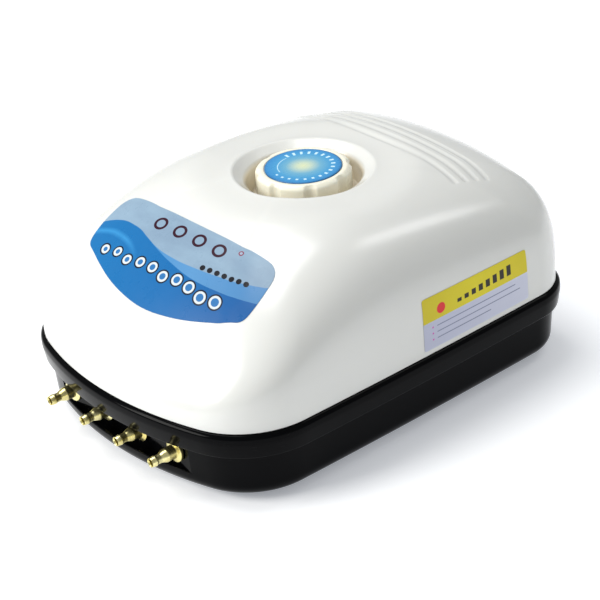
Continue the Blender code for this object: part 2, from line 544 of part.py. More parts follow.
bobbin = solid("coil_bobbin", [(-0.0161, 0.0161, CORE_Y - 0.0078, CORE_Y + 0.0078,
                                AXLE_Z - 0.0078, AXLE_Z + 0.0078)], look="nylon")
for k, s in enumerate((-1, 1)):
    x0, x1 = sorted((s * 0.0147, s * 0.0161))
    fuse(bobbin, tool(f"flange_{k + 1}", boxes=[(x0, x1, CORE_Y - 0.0128, CORE_Y + 0.0128,
                                                 AXLE_Z - 0.0140, AXLE_Z + 0.0140)]))
cut(bobbin, tool("bobbin_bore", boxes=[(-0.0200, 0.0200, CORE_Y - 0.0063, CORE_Y + 0.0063,
                                        AXLE_Z - 0.0063, AXLE_Z + 0.0063)]))
winding = solid("coil_winding", [(-0.0144, 0.0144, CORE_Y - 0.0124, CORE_Y + 0.0124,
                                  AXLE_Z - 0.0130, AXLE_Z + 0.0130)], look="copper", bevel=0.0030)
cut(winding, tool("winding_bore", boxes=[(-0.0200, 0.0200, CORE_Y - 0.0081, CORE_Y + 0.0081,
                                          AXLE_Z - 0.0081, AXLE_Z + 0.0081)]))

# ---------------------------------------------------------------- flow control and knob
cx, cy = CENTRE
solid("control_board", [(-0.0240, 0.0240, cy - 0.0260, cy + 0.0280, BOARD_Z, BOARD_Z + 0.0016)],
      look="board")
PB = BOARD_Z + 0.0016 + GAP
lathe("dial_pot", [(0, PB + 0.0020), (0.0025, PB + 0.0020), (0.0025, 0.0744), (0.0034, 0.0744),
                   (0.0034, PB + 0.0070), (0.0080, PB + 0.0070), (0.0084, PB + 0.0066),
                   (0.0084, PB), (0, PB)], "pot_grey", (cx, cy, 0), steps=24)
pot_nut = solid("pot_nut", rods=[((cx, cy, WELL_FLOOR + GAP + 0.0010), 0.0056, 0.0020, "Z", 6)],
                look="steel")
cut(pot_nut, tool("pot_nut_bore", rods=[((cx, cy, WELL_FLOOR), 0.0037, 0.0100, "Z", 24)]))
lathe("pot_shaft", [(0, 0.0810), (0.0020, 0.0810), (0.0024, 0.0806), (0.0024, PB + 0.0024),
                    (0, PB + 0.0024)], "steel", (cx, cy, 0), steps=16)
knob = lathe("control_knob", [
    (0, KNOB_TOP - 0.0006), (DIAL_R + GAP, KNOB_TOP - 0.0006), (DIAL_R + GAP, KNOB_TOP),
    (KNOB_R - 0.0014, KNOB_TOP - 0.0001), (KNOB_R - 0.0004, KNOB_TOP - 0.0006),
    (KNOB_R, KNOB_TOP - 0.0016), (KNOB_R, 0.0728), (KNOB_R - 0.0020, 0.0728),
    (KNOB_R - 0.0022, KNOB_TOP - 0.0028), (0.0050, KNOB_TOP - 0.0028), (0.0050, 0.0750),
    (0.0027, 0.0750), (0.0027, 0.0813), (0, 0.0813)], "gloss_white", (cx, cy, 0), steps=48)
flute_turns = [math.tau * (k + 0.5) / FLUTES - FLUTE_TURN for k in range(FLUTES)]
cut(knob, tool("knob_flutes", rods=[
    ((cx + (KNOB_R + FLUTE_OUT) * math.cos(a), cy + (KNOB_R + FLUTE_OUT) * math.sin(a), KNOB_TOP),
     FLUTE_R, 0.0400, "Z", 14) for a in flute_turns]))
lathe("knob_dial", [(0, KNOB_TOP + 0.0001), (DIAL_R - 0.0003, KNOB_TOP + 0.0001),
                    (DIAL_R, KNOB_TOP - 0.0001), (DIAL_R, KNOB_TOP - 0.0003),
                    (0, KNOB_TOP - 0.0003)], "dial_blue", (cx, cy, 0), steps=32)


# ---------------------------------------------------------------- labels
def label(name, edge, centre, key, up, pick, look, rings=5, lift=0.00045, thick=0.0003):
    """Sheet on the dome: edge is a loop of coordinate pairs along the axes key and up."""
    lane = np.stack([dome_ring(s) for s in np.linspace(0, 1, 200) ** 3])[:, pick]
    lane = lane[:, np.argsort(lane[0][:, key])]

    def reach(k, u):
        return Vector([np.interp(u, lane[k][:, key], lane[k][:, i]) for i in range(3)])

    def spot(u, v):
        lo, hi = 0, len(lane) - 1
        while hi - lo > 1:
            mid = (lo + hi) // 2
            lo, hi = (mid, hi) if reach(mid, u)[up] < v else (lo, mid)
        a, b = reach(lo, u), reach(hi, u)
        return a.lerp(b, (v - a[up]) / (b[up] - a[up]))

    verts, faces = [], []
    n = len(edge)
    for layer in (lift, lift + thick):
        for r in range(rings + 1):
            k = r / rings
            loop = [centre] if r == 0 else [(centre[0] + (u - centre[0]) * k,
                                             centre[1] + (v - centre[1]) * k) for u, v in edge]
            for u, v in loop:
                p = spot(u, v)
                du = spot(u + 0.001, v) - spot(u - 0.001, v)
                dv = spot(u, v + 0.0008) - spot(u, v - 0.0008)
                out = du.cross(dv).normalized()
                if out.dot(p - Vector((*CENTRE, 0.03))) < 0:
                    out = -out
                verts.append(p + out * layer)
    half = 1 + rings * n
    for base in (0, half):
        for i in range(n):
            j = (i + 1) % n
            faces.append((base, base + 1 + i, base + 1 + j))
            for r in range(rings - 1):
                a, b = base + 1 + r * n, base + 1 + (r + 1) * n
                faces.append((a + i, b + i, b + j, a + j))
    a, b = 1 + (rings - 1) * n, half + 1 + (rings - 1) * n
    faces += [(a + i, a + (i + 1) % n, b + (i + 1) % n, b + i) for i in range(n)]
    return mesh_object(name, verts, faces, look, smooth=35)


def rounded(corners, radii, steps=2):
    """Round each corner of a polygon with an arc-like bend."""
    loop = []
    n = len(corners)
    for i, (c, r) in enumerate(zip(corners, radii)):
        c, a, b = Vector(c), Vector(corners[i - 1]), Vector(corners[(i + 1) % n])
        p, q = c + (a - c).normalized() * r, c + (b - c).normalized() * r
        for k in range(steps + 1):
            t = k / steps
            loop.append(p * (1 - t) ** 2 + c * 2 * t * (1 - t) + q * t ** 2)
    even = []
    for p, q in zip(loop, loop[1:] + loop[:1]):
        cuts = max(1, round((q - p).length / 0.009))
        even += [tuple(p.lerp(q, k / cuts)) for k in range(cuts)]
    return even


front_cols = np.where(NORMAL[:, 1] < -0.05)[0]
# its corners on the right half in plan, each with its rounding
corners = [((0.0, -0.0398), 0.0100), ((0.0450, -0.0388), 0.0065), ((0.0470, -0.0520), 0.0040),
           ((0.0465, -0.0595), 0.0032), ((0.0220, -0.0682), 0.0100), ((0.0, -0.0712), 0.0100)]
edge = corners[::-1] + [((-x, y), r) for (x, y), r in corners[1:-1]]
label("front_label", rounded([c for c, r in edge], [r for c, r in edge]),
      (0.0, -0.0545), 0, 1, front_cols, "print_blue")
side_cols = np.where((NORMAL[:, 0] > 0.9))[0]
label("side_label", rounded([(0.0062, 0.0534), (0.0616, 0.0526), (0.0620, 0.0316),
                             (0.0062, 0.0316)], [0.001] * 4, steps=1),
      (0.0335, 0.0424), 1, 2, side_cols, "print_yellow")

# ---------------------------------------------------------------- set on the feet, centred
bpy.context.view_layer.update()
graph = bpy.context.evaluated_depsgraph_get()
lo, hi = [1.0] * 3, [-1.0] * 3
for ob in PARTS.objects:
    shape = ob.evaluated_get(graph).to_mesh()
    for v in shape.vertices:
        w = ob.matrix_world @ v.co
        lo = [min(a, b) for a, b in zip(lo, w)]
        hi = [max(a, b) for a, b in zip(hi, w)]
shift = Vector((0.0, -(lo[1] + hi[1]) / 2, -lo[2]))
for ob in list(PARTS.objects) + list(CUTTERS.objects):
    ob.location += shift
print("size", [round(b - a, 5) for a, b in zip(lo, hi)], "shift", [round(c, 5) for c in shift])
print("pieces", len(PARTS.objects))
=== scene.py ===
"""Looks of the four-outlet air pump: fine shells, knob, prints, barbs, light and camera."""
import json
import math
import bmesh
import bpy
import numpy as np
from mathutils import Matrix, Vector


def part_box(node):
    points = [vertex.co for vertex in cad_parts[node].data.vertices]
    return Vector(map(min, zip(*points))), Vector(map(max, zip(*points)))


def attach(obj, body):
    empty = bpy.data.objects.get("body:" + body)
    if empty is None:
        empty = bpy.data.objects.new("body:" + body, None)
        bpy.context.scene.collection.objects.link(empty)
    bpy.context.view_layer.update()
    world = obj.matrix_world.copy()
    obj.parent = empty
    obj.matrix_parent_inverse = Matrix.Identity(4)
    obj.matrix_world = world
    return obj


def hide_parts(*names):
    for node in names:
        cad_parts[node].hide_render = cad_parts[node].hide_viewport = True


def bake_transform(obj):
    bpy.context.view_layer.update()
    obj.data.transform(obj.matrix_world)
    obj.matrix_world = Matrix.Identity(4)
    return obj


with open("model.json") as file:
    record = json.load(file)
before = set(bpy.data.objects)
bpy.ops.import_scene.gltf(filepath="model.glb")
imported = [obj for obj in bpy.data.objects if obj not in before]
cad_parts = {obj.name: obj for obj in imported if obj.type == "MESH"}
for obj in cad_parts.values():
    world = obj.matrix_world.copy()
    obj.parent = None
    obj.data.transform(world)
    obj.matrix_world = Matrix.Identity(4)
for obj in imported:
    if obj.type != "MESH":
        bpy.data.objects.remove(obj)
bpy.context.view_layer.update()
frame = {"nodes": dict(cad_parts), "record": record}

# ---- driving dimensions, in the drawing frame whose z = 0 is the base's underside ----
GAP = 0.0003                          # between touching pieces
HALF_W = 0.0700                       # outline: half width, and the ends of the centre line
FRONT_Y, REAR_Y = -0.0907, 0.0930
R_FRONT, R_SIDE, R_REAR = 0.1555, 3.05, 0.485
FILLET_F, FILLET_R = 0.0327, 0.0217
PART_Z = 0.0293                       # parting line
CENTRE = (0.0, 0.0118)                # the knob's axis
CROWN, COVER_T = 0.0879, 0.0024
DISH_R, WELL_R, WELL_FLOOR = 0.0278, 0.0225, 0.0716
DIP_R, DIP = 0.0470, 0.0021           # the crown sinks softly towards the dish from this radius
KNOB_R, KNOB_TOP, DIAL_R = 0.0187, 0.0846, 0.0150
MOUTH = KNOB_TOP - 0.0035             # top edge of the well
FLUTES, FLUTE_R, FLUTE_OUT, FLUTE_TURN = 8, 0.0034, 0.0022, 0.18
RIDGES, RIDGE_Y, RIDGE_PITCH = 4, 0.0500, 0.0052
RIDGE_END, RIDGE_DEEP, RIDGE_HALF = 0.0470, 0.00042, 0.0017
RIM_Z, RIM_OUT = 0.0195, 0.0018       # the base's rim under the parting line
BASE_FILLET, FLOOR_T, FOOT_H = 0.0065, 0.0025, 0.0020
PANEL_Y, PANEL_HALF, PANEL_Z0, PANEL_Z1 = -0.0835, 0.0395, 0.0072, 0.0193
PANEL_ROLL = 0.00025                  # radius of the panel window's edge
OUTLET_PITCH, OUTLET_Z, OUTLET_TIP = 0.0210, 0.0145, -0.0960
OUTLET_X = [(k - 1.5) * OUTLET_PITCH for k in range(4)]
SCREWS = ((-0.052, -0.040), (0.052, -0.040), (-0.050, 0.066), (0.050, 0.066))
POST_R, PILOT_R = 0.0040, 0.0016      # the cover's screw posts
BOSS_R, SCREW_R, HEAD_R = 0.0045, 0.0018, 0.0034
FEET = ((-0.040, -0.060), (0.040, -0.060), (-0.036, 0.074), (0.036, 0.074))
PIVOTS = ((-0.03125, 0.056), (0.03125, 0.056))
CORE_SCREWS = ((-0.0193, 0.0020), (0.0193, 0.0220))
FILTER = (-0.0200, 0.0200, 0.0370, 0.0600)
GLAND_Z = 0.0125
PUMP_Y, AXLE_Z = -0.030, 0.034        # the diaphragms' common axis
PRINT_LIFT, PRINT_T = 0.00006, 0.00010
FRONT_SCALE, SIDE_SCALE, FRONT_MID = 0.100, 0.060, -0.0545

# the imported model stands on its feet, so it lies a little off the drawing frame
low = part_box("top_cover")[0]
MOVE = Vector((0.0, low.y - FRONT_Y, low.z - PART_Z - GAP))


# ---------------------------------------------------------------- node helpers
class Mat:
    """A Principled material that is built up from small node steps."""

    def __init__(self, name, colour, rough, metal=0.0):
        self.mat = bpy.data.materials.new(name)
        self.mat.use_nodes = True
        self.tree = self.mat.node_tree
        self.bsdf = self.tree.nodes["Principled BSDF"]
        self.set("Base Color", (*colour, 1))
        self.set("Roughness", rough)
        self.set("Metallic", metal)
        self.mat.diffuse_color = (*colour, 1)

    def set(self, socket, value):
        self.bsdf.inputs[socket].default_value = value
        return self

    def node(self, kind, **inputs):
        made = self.tree.nodes.new("ShaderNode" + kind)
        for key, value in inputs.items():
            made.inputs[key.replace("_", " ")].default_value = value
        return made

    def link(self, out, into):
        self.tree.links.new(out, into)

    def coords(self, kind="Object", scale=(1, 1, 1)):
        place = self.node("TexCoord")
        mapping = self.node("Mapping")
        mapping.inputs["Scale"].default_value = scale
        self.link(place.outputs[kind], mapping.inputs["Vector"])
        return mapping.outputs["Vector"]

    def noise(self, scale, detail=3.0, rough=0.5, stretch=(1, 1, 1)):
        made = self.node("TexNoise", Scale=scale, Detail=detail, Roughness=rough)
        self.link(self.coords(scale=stretch), made.inputs["Vector"])
        return made.outputs["Fac"]

    def math(self, op, a, b=None, c=None, clamp=False):
        made = self.tree.nodes.new("ShaderNodeMath")
        made.operation = op
        made.use_clamp = clamp
        for k, value in enumerate((a, b, c)):
            if value is None:
                continue
            if isinstance(value, (int, float)):
                made.inputs[k].default_value = value
            else:
                self.link(value, made.inputs[k])
        return made.outputs[0]

    def ramp(self, fac, stops, smooth=False):
        made = self.tree.nodes.new("ShaderNodeValToRGB")
        made.color_ramp.interpolation = "EASE" if smooth else "LINEAR"
        while len(made.color_ramp.elements) < len(stops):
            made.color_ramp.elements.new(0.5)
        for element, (at, colour) in zip(made.color_ramp.elements, stops):
            element.position = at
            element.color = (*colour, 1) if len(colour) == 3 else colour
        self.link(fac, made.inputs["Fac"])
        return made.outputs["Color"]

    def mix(self, fac, a, b):
        made = self.tree.nodes.new("ShaderNodeMix")
        made.data_type = "RGBA"
        for socket, value in ((made.inputs["Factor"], fac), (made.inputs["A"], a),
                              (made.inputs["B"], b)):
            if isinstance(value, (int, float)):
                socket.default_value = value
            elif isinstance(value, tuple):
                socket.default_value = (*value, 1)
            else:
                self.link(value, socket)
        return made.outputs["Result"]

    def uv(self):
        """The two coordinates of a printed film."""
        split = self.node("SeparateXYZ")
        self.link(self.coords("UV"), split.inputs["Vector"])
        return split.outputs["X"], split.outputs["Y"]

    def length(self, dx, dy):
        square = self.math("ADD", self.math("MULTIPLY", dx, dx), self.math("MULTIPLY", dy, dy))
        return self.math("SQRT", square)

    def stamp(self, look, depth, colour, grow=0.0):
        """Paints colour where depth plus grow is above 0, with a crisp edge."""
        depth = self.math("ADD", depth, grow) if grow else depth
        return self.mix(self.math("MULTIPLY", depth, 900.0, clamp=True), look, colour)

    def colour(self, out):
        self.link(out, self.bsdf.inputs["Base Color"])
        return self

    def rough(self, fac, low_value, high_value):
        made = self.tree.nodes.new("ShaderNodeMapRange")
        made.inputs["To Min"].default_value = low_value
        made.inputs["To Max"].default_value = high_value
        self.link(fac, made.inputs["Value"])
        self.link(made.outputs["Result"], self.bsdf.inputs["Roughness"])
        return self

    def bump(self, height, strength, distance):
        made = self.node("Bump", Strength=strength, Distance=distance)
        self.link(height, made.inputs["Height"])
        self.link(made.outputs["Normal"], self.bsdf.inputs["Normal"])
        return self


def speckled(name, colour, rough, spread=0.04, metal=0.0, scale=60.0, grain=900.0, relief=0.00002,
             stretch=(1, 1, 1), coat=0.0):
    """A surface with soft colour drift, uneven gloss and a fine moulded grain."""
    m = Mat(name, colour, rough, metal)
    drift = m.noise(scale, 4.0, 0.55, stretch)
    dark = tuple(c * (1 - spread) for c in colour)
    pale = tuple(min(1.0, c * (1 + spread)) for c in colour)
    m.colour(m.ramp(drift, [(0.3, dark), (0.7, pale)]))
    m.rough(m.noise(scale * 2.5, 3.0, 0.6, stretch), rough * 0.8, rough * 1.25)
    m.bump(m.noise(grain, 2.0, 0.5, stretch), 0.25, relief)
    if coat:
        m.set("Coat Weight", coat)
        m.set("Coat Roughness", 0.20)
    return m


# ---------------------------------------------------------------- materials
def gloss_white():
    """Warm white shell, with warm bounce light and shade from the cream knob painted inside the
    knob's well.
    """
    m = speckled("gloss_white_abs", (0.675, 0.68, 0.655), 0.22, 0.012, scale=14.0, grain=1400.0,
                 relief=0.000012, coat=0.5)
    split = m.node("SeparateXYZ")
    m.link(m.coords(), split.inputs["Vector"])
    dx = m.math("SUBTRACT", split.outputs["X"], CENTRE[0] + MOVE.x)
    dy = m.math("SUBTRACT", split.outputs["Y"], CENTRE[1] + MOVE.y)
    # painted warm shade and bounce light: the shell's colour turns cream inside the knob's well
    inside = m.math("SUBTRACT", WELL_R + 0.0012, m.length(dx, dy))
    inside = m.math("MULTIPLY", inside, 700.0, clamp=True)
    drift = m.bsdf.inputs["Base Color"].links[0].from_socket
    m.colour(m.mix(inside, drift, (0.78, 0.70, 0.555)))
    m.set("Subsurface Weight", 0.10)
    m.set("Subsurface Radius", (0.004, 0.0035, 0.0028))
    m.set("Subsurface Scale", 1.0)
    return m.mat


def knob_cream():
    m = speckled("knob_cream_abs", (0.80, 0.775, 0.65), 0.26, 0.015, scale=30.0, grain=1600.0,
                 relief=0.000012, coat=0.3)
    m.set("Subsurface Weight", 0.10)
    m.set("Subsurface Radius", (0.004, 0.003, 0.002))
    m.set("Subsurface Scale", 1.0)
    return m.mat


def gloss_black():
    m = speckled("gloss_black_abs", (0.0012, 0.0013, 0.0017), 0.11, 0.25, scale=18.0, grain=1500.0,
                 relief=0.000010)
    m.set("Specular IOR Level", 0.05)
    return m.mat


def rubber():
    return speckled("moulded_rubber", (0.018, 0.018, 0.020), 0.62, 0.15, scale=120.0,
                    grain=1800.0, relief=0.00005).mat


def brass():
    m = Mat("turned_brass", (0.83, 0.66, 0.24), 0.22, 1.0)
    rings = m.noise(70.0, 3.0, 0.6, (1.0, 40.0, 1.0))
    m.colour(m.ramp(m.noise(160.0, 4.0), [(0.3, (0.66, 0.56, 0.20)), (0.7, (0.88, 0.82, 0.43))]))
    m.rough(rings, 0.20, 0.40)
    m.bump(rings, 0.35, 0.00003)
    return m.mat


def plated_steel():
    return speckled("plated_steel", (0.56, 0.56, 0.57), 0.30, 0.10, metal=1.0, scale=220.0,
                    grain=900.0, relief=0.00003, stretch=(1, 1, 6)).mat


def laminations():
    m = Mat("steel_laminations", (0.25, 0.26, 0.28), 0.45, 0.9)
    wave = m.node("TexWave", Scale=320.0, Distortion=0.4, Detail=1.0)
    wave.bands_direction = "Z"
    m.link(m.coords(), wave.inputs["Vector"])
    m.colour(m.ramp(wave.outputs["Fac"], [(0.15, (0.07, 0.07, 0.08)), (0.5, (0.34, 0.35, 0.37))]))
    m.rough(m.noise(300.0), 0.35, 0.6)
    m.bump(wave.outputs["Fac"], 0.8, 0.0002)
    return m.mat


def windings():
    m = Mat("enamelled_copper", (0.60, 0.24, 0.07), 0.25, 0.85)
    wave = m.node("TexWave", Scale=420.0, Distortion=0.6, Detail=1.0)
    wave.bands_direction = "X"
    m.link(m.coords(), wave.inputs["Vector"])
    m.colour(m.ramp(wave.outputs["Fac"], [(0.1, (0.20, 0.06, 0.02)), (0.6, (0.75, 0.34, 0.12))]))
    m.rough(m.noise(200.0), 0.2, 0.4)
    m.bump(wave.outputs["Fac"], 0.9, 0.00025)
    return m.mat


def felt():
    m = speckled("pressed_felt", (0.58, 0.58, 0.53), 0.95, 0.14, scale=500.0, grain=2600.0,
                 relief=0.0003, stretch=(1, 3, 1))
    m.set("Sheen Weight", 0.4)
    return m.mat


def board():
    m = Mat("solder_mask", (0.02, 0.16, 0.06), 0.30)
    brick = m.node("TexBrick", Scale=180.0)
    m.link(m.coords(), brick.inputs["Vector"])
    m.colour(m.mix(brick.outputs["Fac"], (0.018, 0.15, 0.055), (0.05, 0.28, 0.10)))
    m.rough(m.noise(150.0), 0.22, 0.42)
    m.bump(brick.outputs["Fac"], 0.4, 0.00006)
    return m.mat


def silicone():
    m = speckled("silicone_tube", (0.66, 0.69, 0.69), 0.32, 0.03, scale=60.0, grain=1200.0)
    m.set("Transmission Weight", 0.35)
    m.set("IOR", 1.41)
    return m.mat


WHITE, CREAM, BLACK = gloss_white(), knob_cream(), gloss_black()
RUBBER, BRASS, STEEL = rubber(), brass(), plated_steel()


# ---------------------------------------------------------------- outline and dome
def circle_meet(c0, r0, c1, r1, key):
    d = c1 - c0
    dist = np.hypot(*d)
    a = (r0 * r0 - r1 * r1 + dist * dist) / (2 * dist)
    h = math.sqrt(max(r0 * r0 - a * a, 0.0))
    m, n = c0 + a * d / dist, np.array([-d[1], d[0]]) / dist
    return max((m + h * n, m - h * n), key=key)


def dense_outline():
    """Parting-line outline as many points: front, side and rear arcs joined by fillets."""
    c_f, c_s = np.array([0, FRONT_Y + R_FRONT]), np.array([HALF_W - R_SIDE, 0.0])
    c_r = np.array([0, REAR_Y - R_REAR])
    c1 = circle_meet(c_f, R_FRONT - FILLET_F, c_s, R_SIDE - FILLET_F, lambda q: q[0] - q[1])
    c2 = circle_meet(c_r, R_REAR - FILLET_R, c_s, R_SIDE - FILLET_R, lambda q: q[0] + q[1])

    def angle(c, q):
        return math.atan2(q[1] - c[1], q[0] - c[0])

    def arc(c, r, a0, a1, n):
        t = np.linspace(a0, a1, n)
        return np.stack([c[0] + r * np.cos(t), c[1] + r * np.sin(t)], 1)[:-1]

    f, s1, s2, r = angle(c_f, c1), angle(c_s, c1), angle(c_s, c2), angle(c_r, c2)
    half = np.concatenate([arc(c_f, R_FRONT, -math.pi / 2, f, 400), arc(c1, FILLET_F, f, s1, 400),
                           arc(c_s, R_SIDE, s1, s2, 600), arc(c2, FILLET_R, s2, r, 300),
                           arc(c_r, R_REAR, r, math.pi / 2, 400), [[0.0, REAR_Y]]])
    return np.concatenate([half, half[-2:0:-1] * np.array([-1, 1])])


DENSE = dense_outline()


class Rim:
    """Columns round the parting line, and the rings that the shells are lofted from."""

    def __init__(self, density):
        """density(x, y, turn) gives how many columns a stretch of the outline gets."""
        loop = np.vstack([DENSE, DENSE[:1]])
        step = np.diff(loop, axis=0)
        heading = np.unwrap(np.arctan2(step[:, 1], step[:, 0]))
        turn = np.abs(np.diff(heading, append=heading[0] + math.tau))
        weight = np.concatenate([[0], np.cumsum(density(DENSE, np.hypot(*step.T), turn))])
        count = int(round(weight[-1] / 4)) * 4
        t = np.linspace(0, weight[-1], count, endpoint=False)
        self.at = np.stack([np.interp(t, weight, loop[:, i]) for i in (0, 1)], 1)
        self.count = count
        self.measure()

    def measure(self):
        tan = np.roll(self.at, -1, 0) - np.roll(self.at, 1, 0)
        nrm = np.stack([tan[:, 1], -tan[:, 0]], 1)
        self.nrm = nrm / np.hypot(*nrm.T)[:, None]
        dx2, dy2 = self.nrm[:, 0] ** 2, self.nrm[:, 1] ** 2
        front = self.nrm[:, 1] < 0

        def fullness(f, side, rear, corner_f, corner_r):
            return side * dx2 + np.where(front, f, rear) * dy2 \
                + np.where(front, corner_f, corner_r) * 4 * dx2 * dy2

        self.e_in = fullness(3.15, 5.42, 7.09, 0.86, -0.95)
        self.e_up = fullness(3.24, 4.80, 6.80, 0.86, -0.95)

    def dome(self, share, inset=0.0):
        """One ring of the dome; share 0 is the parting line, 1 the edge of the knob's dish."""
        rel = self.at - self.nrm * inset - np.array(CENTRE)
        radius = np.hypot(*rel.T)
        end = np.arccos((DISH_R / radius) ** (self.e_in / 2))
        phi = end * share
        r = np.cos(phi) ** (2 / self.e_in)
        up = np.sin(phi) ** (2 / self.e_up)
        x, y = CENTRE[0] + rel[:, 0] * r, CENTRE[1] + rel[:, 1] * r
        t = np.clip((DIP_R - radius * r) / (DIP_R - DISH_R), 0, 1)
        sink = t * t * (3 - 2 * t) * DIP
        z = PART_Z + GAP + (crown(x, y) - inset - PART_Z - GAP) * up - sink
        return np.stack([x, y, z], 1)

    def share_at(self, reach, inset=0.0):
        """Shares at which the dome is at one distance from the knob's axis."""
        radius = np.hypot(*(self.at - self.nrm * inset - np.array(CENTRE)).T)
        power = self.e_in / 2
        return np.arccos((reach / radius) ** power) / np.arccos((DISH_R / radius) ** power)

    def circle(self, radius, z):
        rel = self.at - np.array(CENTRE)
        k = radius / np.hypot(*rel.T)
        return np.stack([CENTRE[0] + rel[:, 0] * k, CENTRE[1] + rel[:, 1] * k,
                         np.zeros(self.count) + z], 1)

    def offset(self, d, z):
        return np.concatenate([self.at + self.nrm * d, np.full((self.count, 1), z)], 1)


def crown(x, y):
    """Height of the crown sheet that the dome rises to."""
    u, v = x * 10, (y + 0.0017) * 10
    fall = np.where(v < 0, 4.826 * v ** 2 + 0.72 * v ** 4, 1.427 * v ** 2 + 0.038 * v ** 4)
    return CROWN - (2.097 * u ** 2 + 0.646 * u ** 4) / 100 - fall / 100


# ---------------------------------------------------------------- mesh helpers
def piece(name, verts, faces, mat, body="housing", node=None, slot=None, sharp=35, uv=None):
    """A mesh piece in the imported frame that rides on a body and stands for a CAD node."""
    mesh = bpy.data.meshes.new(name)
    mesh.from_pydata((np.asarray(verts) + np.array(MOVE)).tolist(), [], faces)
    mesh.update()
    ob = bpy.data.objects.new(name, mesh)
    bpy.context.scene.collection.objects.link(ob)
    if uv is not None:
        layer = mesh.uv_layers.new(name="print")
        corners = np.empty(len(mesh.loops), int)
        mesh.loops.foreach_get("vertex_index", corners)
        layer.data.foreach_set("uv", np.asarray(uv)[corners].ravel())
    return dress(ob, mat, body, node, sharp)


def dress(ob, mat, body, node, sharp):
    bm = bmesh.new()
    bm.from_mesh(ob.data)
    bmesh.ops.recalc_face_normals(bm, faces=bm.faces)
    bm.to_mesh(ob.data)
    bm.free()
    ob.data.materials.clear()
    ob.data.materials.append(mat)
    ob.data.shade_smooth()
    ob.data.set_sharp_from_angle(angle=math.radians(sharp))
    if body:
        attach(ob, body)
        if node:
            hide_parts(node)
    return ob


def ring_faces(rows, n, closed=False, skip=()):
    """Quads between successive rings of n points; skip holds (row, column) pairs left open."""
    faces = []
    for k in range(rows if closed else rows - 1):
        a, b = k * n, (k + 1) % rows * n
        faces += [(a + i, a + (i + 1) % n, b + (i + 1) % n, b + i) for i in range(n)
                  if (k, i) not in skip]
    return faces


def lathe_faces(rows, steps, closed=False):
    """Faces between rows given as (first vertex, count); a row of one vertex is a pole."""
    faces = []
    for (a, na), (b, nb) in zip(rows, rows[1:] + (rows[:1] if closed else [])):
        if na == nb == 1:
            continue
        for i in range(steps):
            j = (i + 1) % steps
            if na == 1:
                faces.append((a, b + j, b + i))
            elif nb == 1:
                faces.append((a + i, a + j, b))
            else:
                faces.append((a + i, a + j, b + j, b + i))
    return faces


def turned(name, profile, centre, axis, mat, steps=64, closed=True, **kw):
    """A turned piece from (radius, height) pairs; points at radius 0 become poles."""
    turn = {"Z": Matrix.Identity(3), "Y": Matrix.Rotation(-math.pi / 2, 3, "X"),
            "-Y": Matrix.Rotation(math.pi / 2, 3, "X")}[axis]
    verts, rows = [], []
    for r, h in profile:
        first = len(verts)
        count = 1 if r == 0 else steps
        for i in range(count):
            a = math.tau * i / steps
            verts.append(turn @ Vector((r * math.cos(a), r * math.sin(a), h)) + Vector(centre))
        rows.append((first, count))
    return piece(name, [tuple(v) for v in verts], lathe_faces(rows, steps, closed), mat, **kw)


def bend(points, radius, steps=4):
    """The profile with each inner corner rounded; the two ends stay."""
    pts = [Vector(p) for p in points]
    out = [pts[0]]
    for a, c, b in zip(pts, pts[1:], pts[2:]):
        r = min(radius, 0.45 * (a - c).length, 0.45 * (b - c).length)
        p, q = c + (a - c).normalized() * r, c + (b - c).normalized() * r
        for k in range(steps + 1):
            t = k / steps
            out.append(p * (1 - t) ** 2 + c * 2 * t * (1 - t) + q * t ** 2)
    out.append(pts[-1])
    return [tuple(p) for p in out]


def cutter(name, boxes=(), rods=(), sides=48):
    """One mesh of closed boxes and rods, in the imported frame, for a Boolean."""
    bm = bmesh.new()
    for x0, x1, y0, y1, z0, z1 in boxes:
        made = bmesh.ops.create_cube(bm, size=1.0)["verts"]
        bmesh.ops.scale(bm, vec=(x1 - x0, y1 - y0, z1 - z0), verts=made)
        bmesh.ops.translate(bm, vec=((x0 + x1) / 2, (y0 + y1) / 2, (z0 + z1) / 2), verts=made)
    for centre, radius, length, axis in rods:
        made = bmesh.ops.create_cone(bm, cap_ends=True, segments=sides, radius1=radius,
                                     radius2=radius, depth=length)["verts"]
        if axis == "Y":
            bmesh.ops.rotate(bm, cent=(0, 0, 0), matrix=Matrix.Rotation(math.pi / 2, 3, "X"),
                             verts=made)
        bmesh.ops.translate(bm, vec=centre, verts=made)
    bmesh.ops.translate(bm, vec=MOVE, verts=bm.verts)
    mesh = bpy.data.meshes.new(name)
    bm.to_mesh(mesh)
    bm.free()
    ob = bpy.data.objects.new(name, mesh)
    bpy.context.scene.collection.objects.link(ob)
    return ob


def apply_boolean(ob, other, kind):
    """Applies the Boolean and removes the cutter, so only the result is left."""
    mod = ob.modifiers.new(kind, "BOOLEAN")
    mod.operation = kind
    mod.solver = "MANIFOLD"
    mod.object = other
    bpy.context.view_layer.update()
    result = bpy.data.meshes.new_from_object(
        ob.evaluated_get(bpy.context.evaluated_depsgraph_get()))
    ob.modifiers.clear()
    ob.data = result
    bpy.data.objects.remove(other, do_unlink=True)


# ---------------------------------------------------------------- cover
def ridge_depth(x, y):
    """How deep the four fine grooves across the rear of the crown are at a point."""
    deep = np.zeros(len(x))
    for k in range(RIDGES):
        line = RIDGE_Y + RIDGE_PITCH * k - 0.6 * np.clip(np.abs(x) - 0.030, 0, None) ** 2 / 0.1
        across = np.clip(1 - ((y - line) / RIDGE_HALF) ** 2, 0, None) ** 1.5
        ends = np.clip((RIDGE_END + 0.0004 * k - np.abs(x)) / 0.0022, 0, 1)
        deep += across * ends * ends * (3 - 2 * ends)
    return deep * RIDGE_DEEP


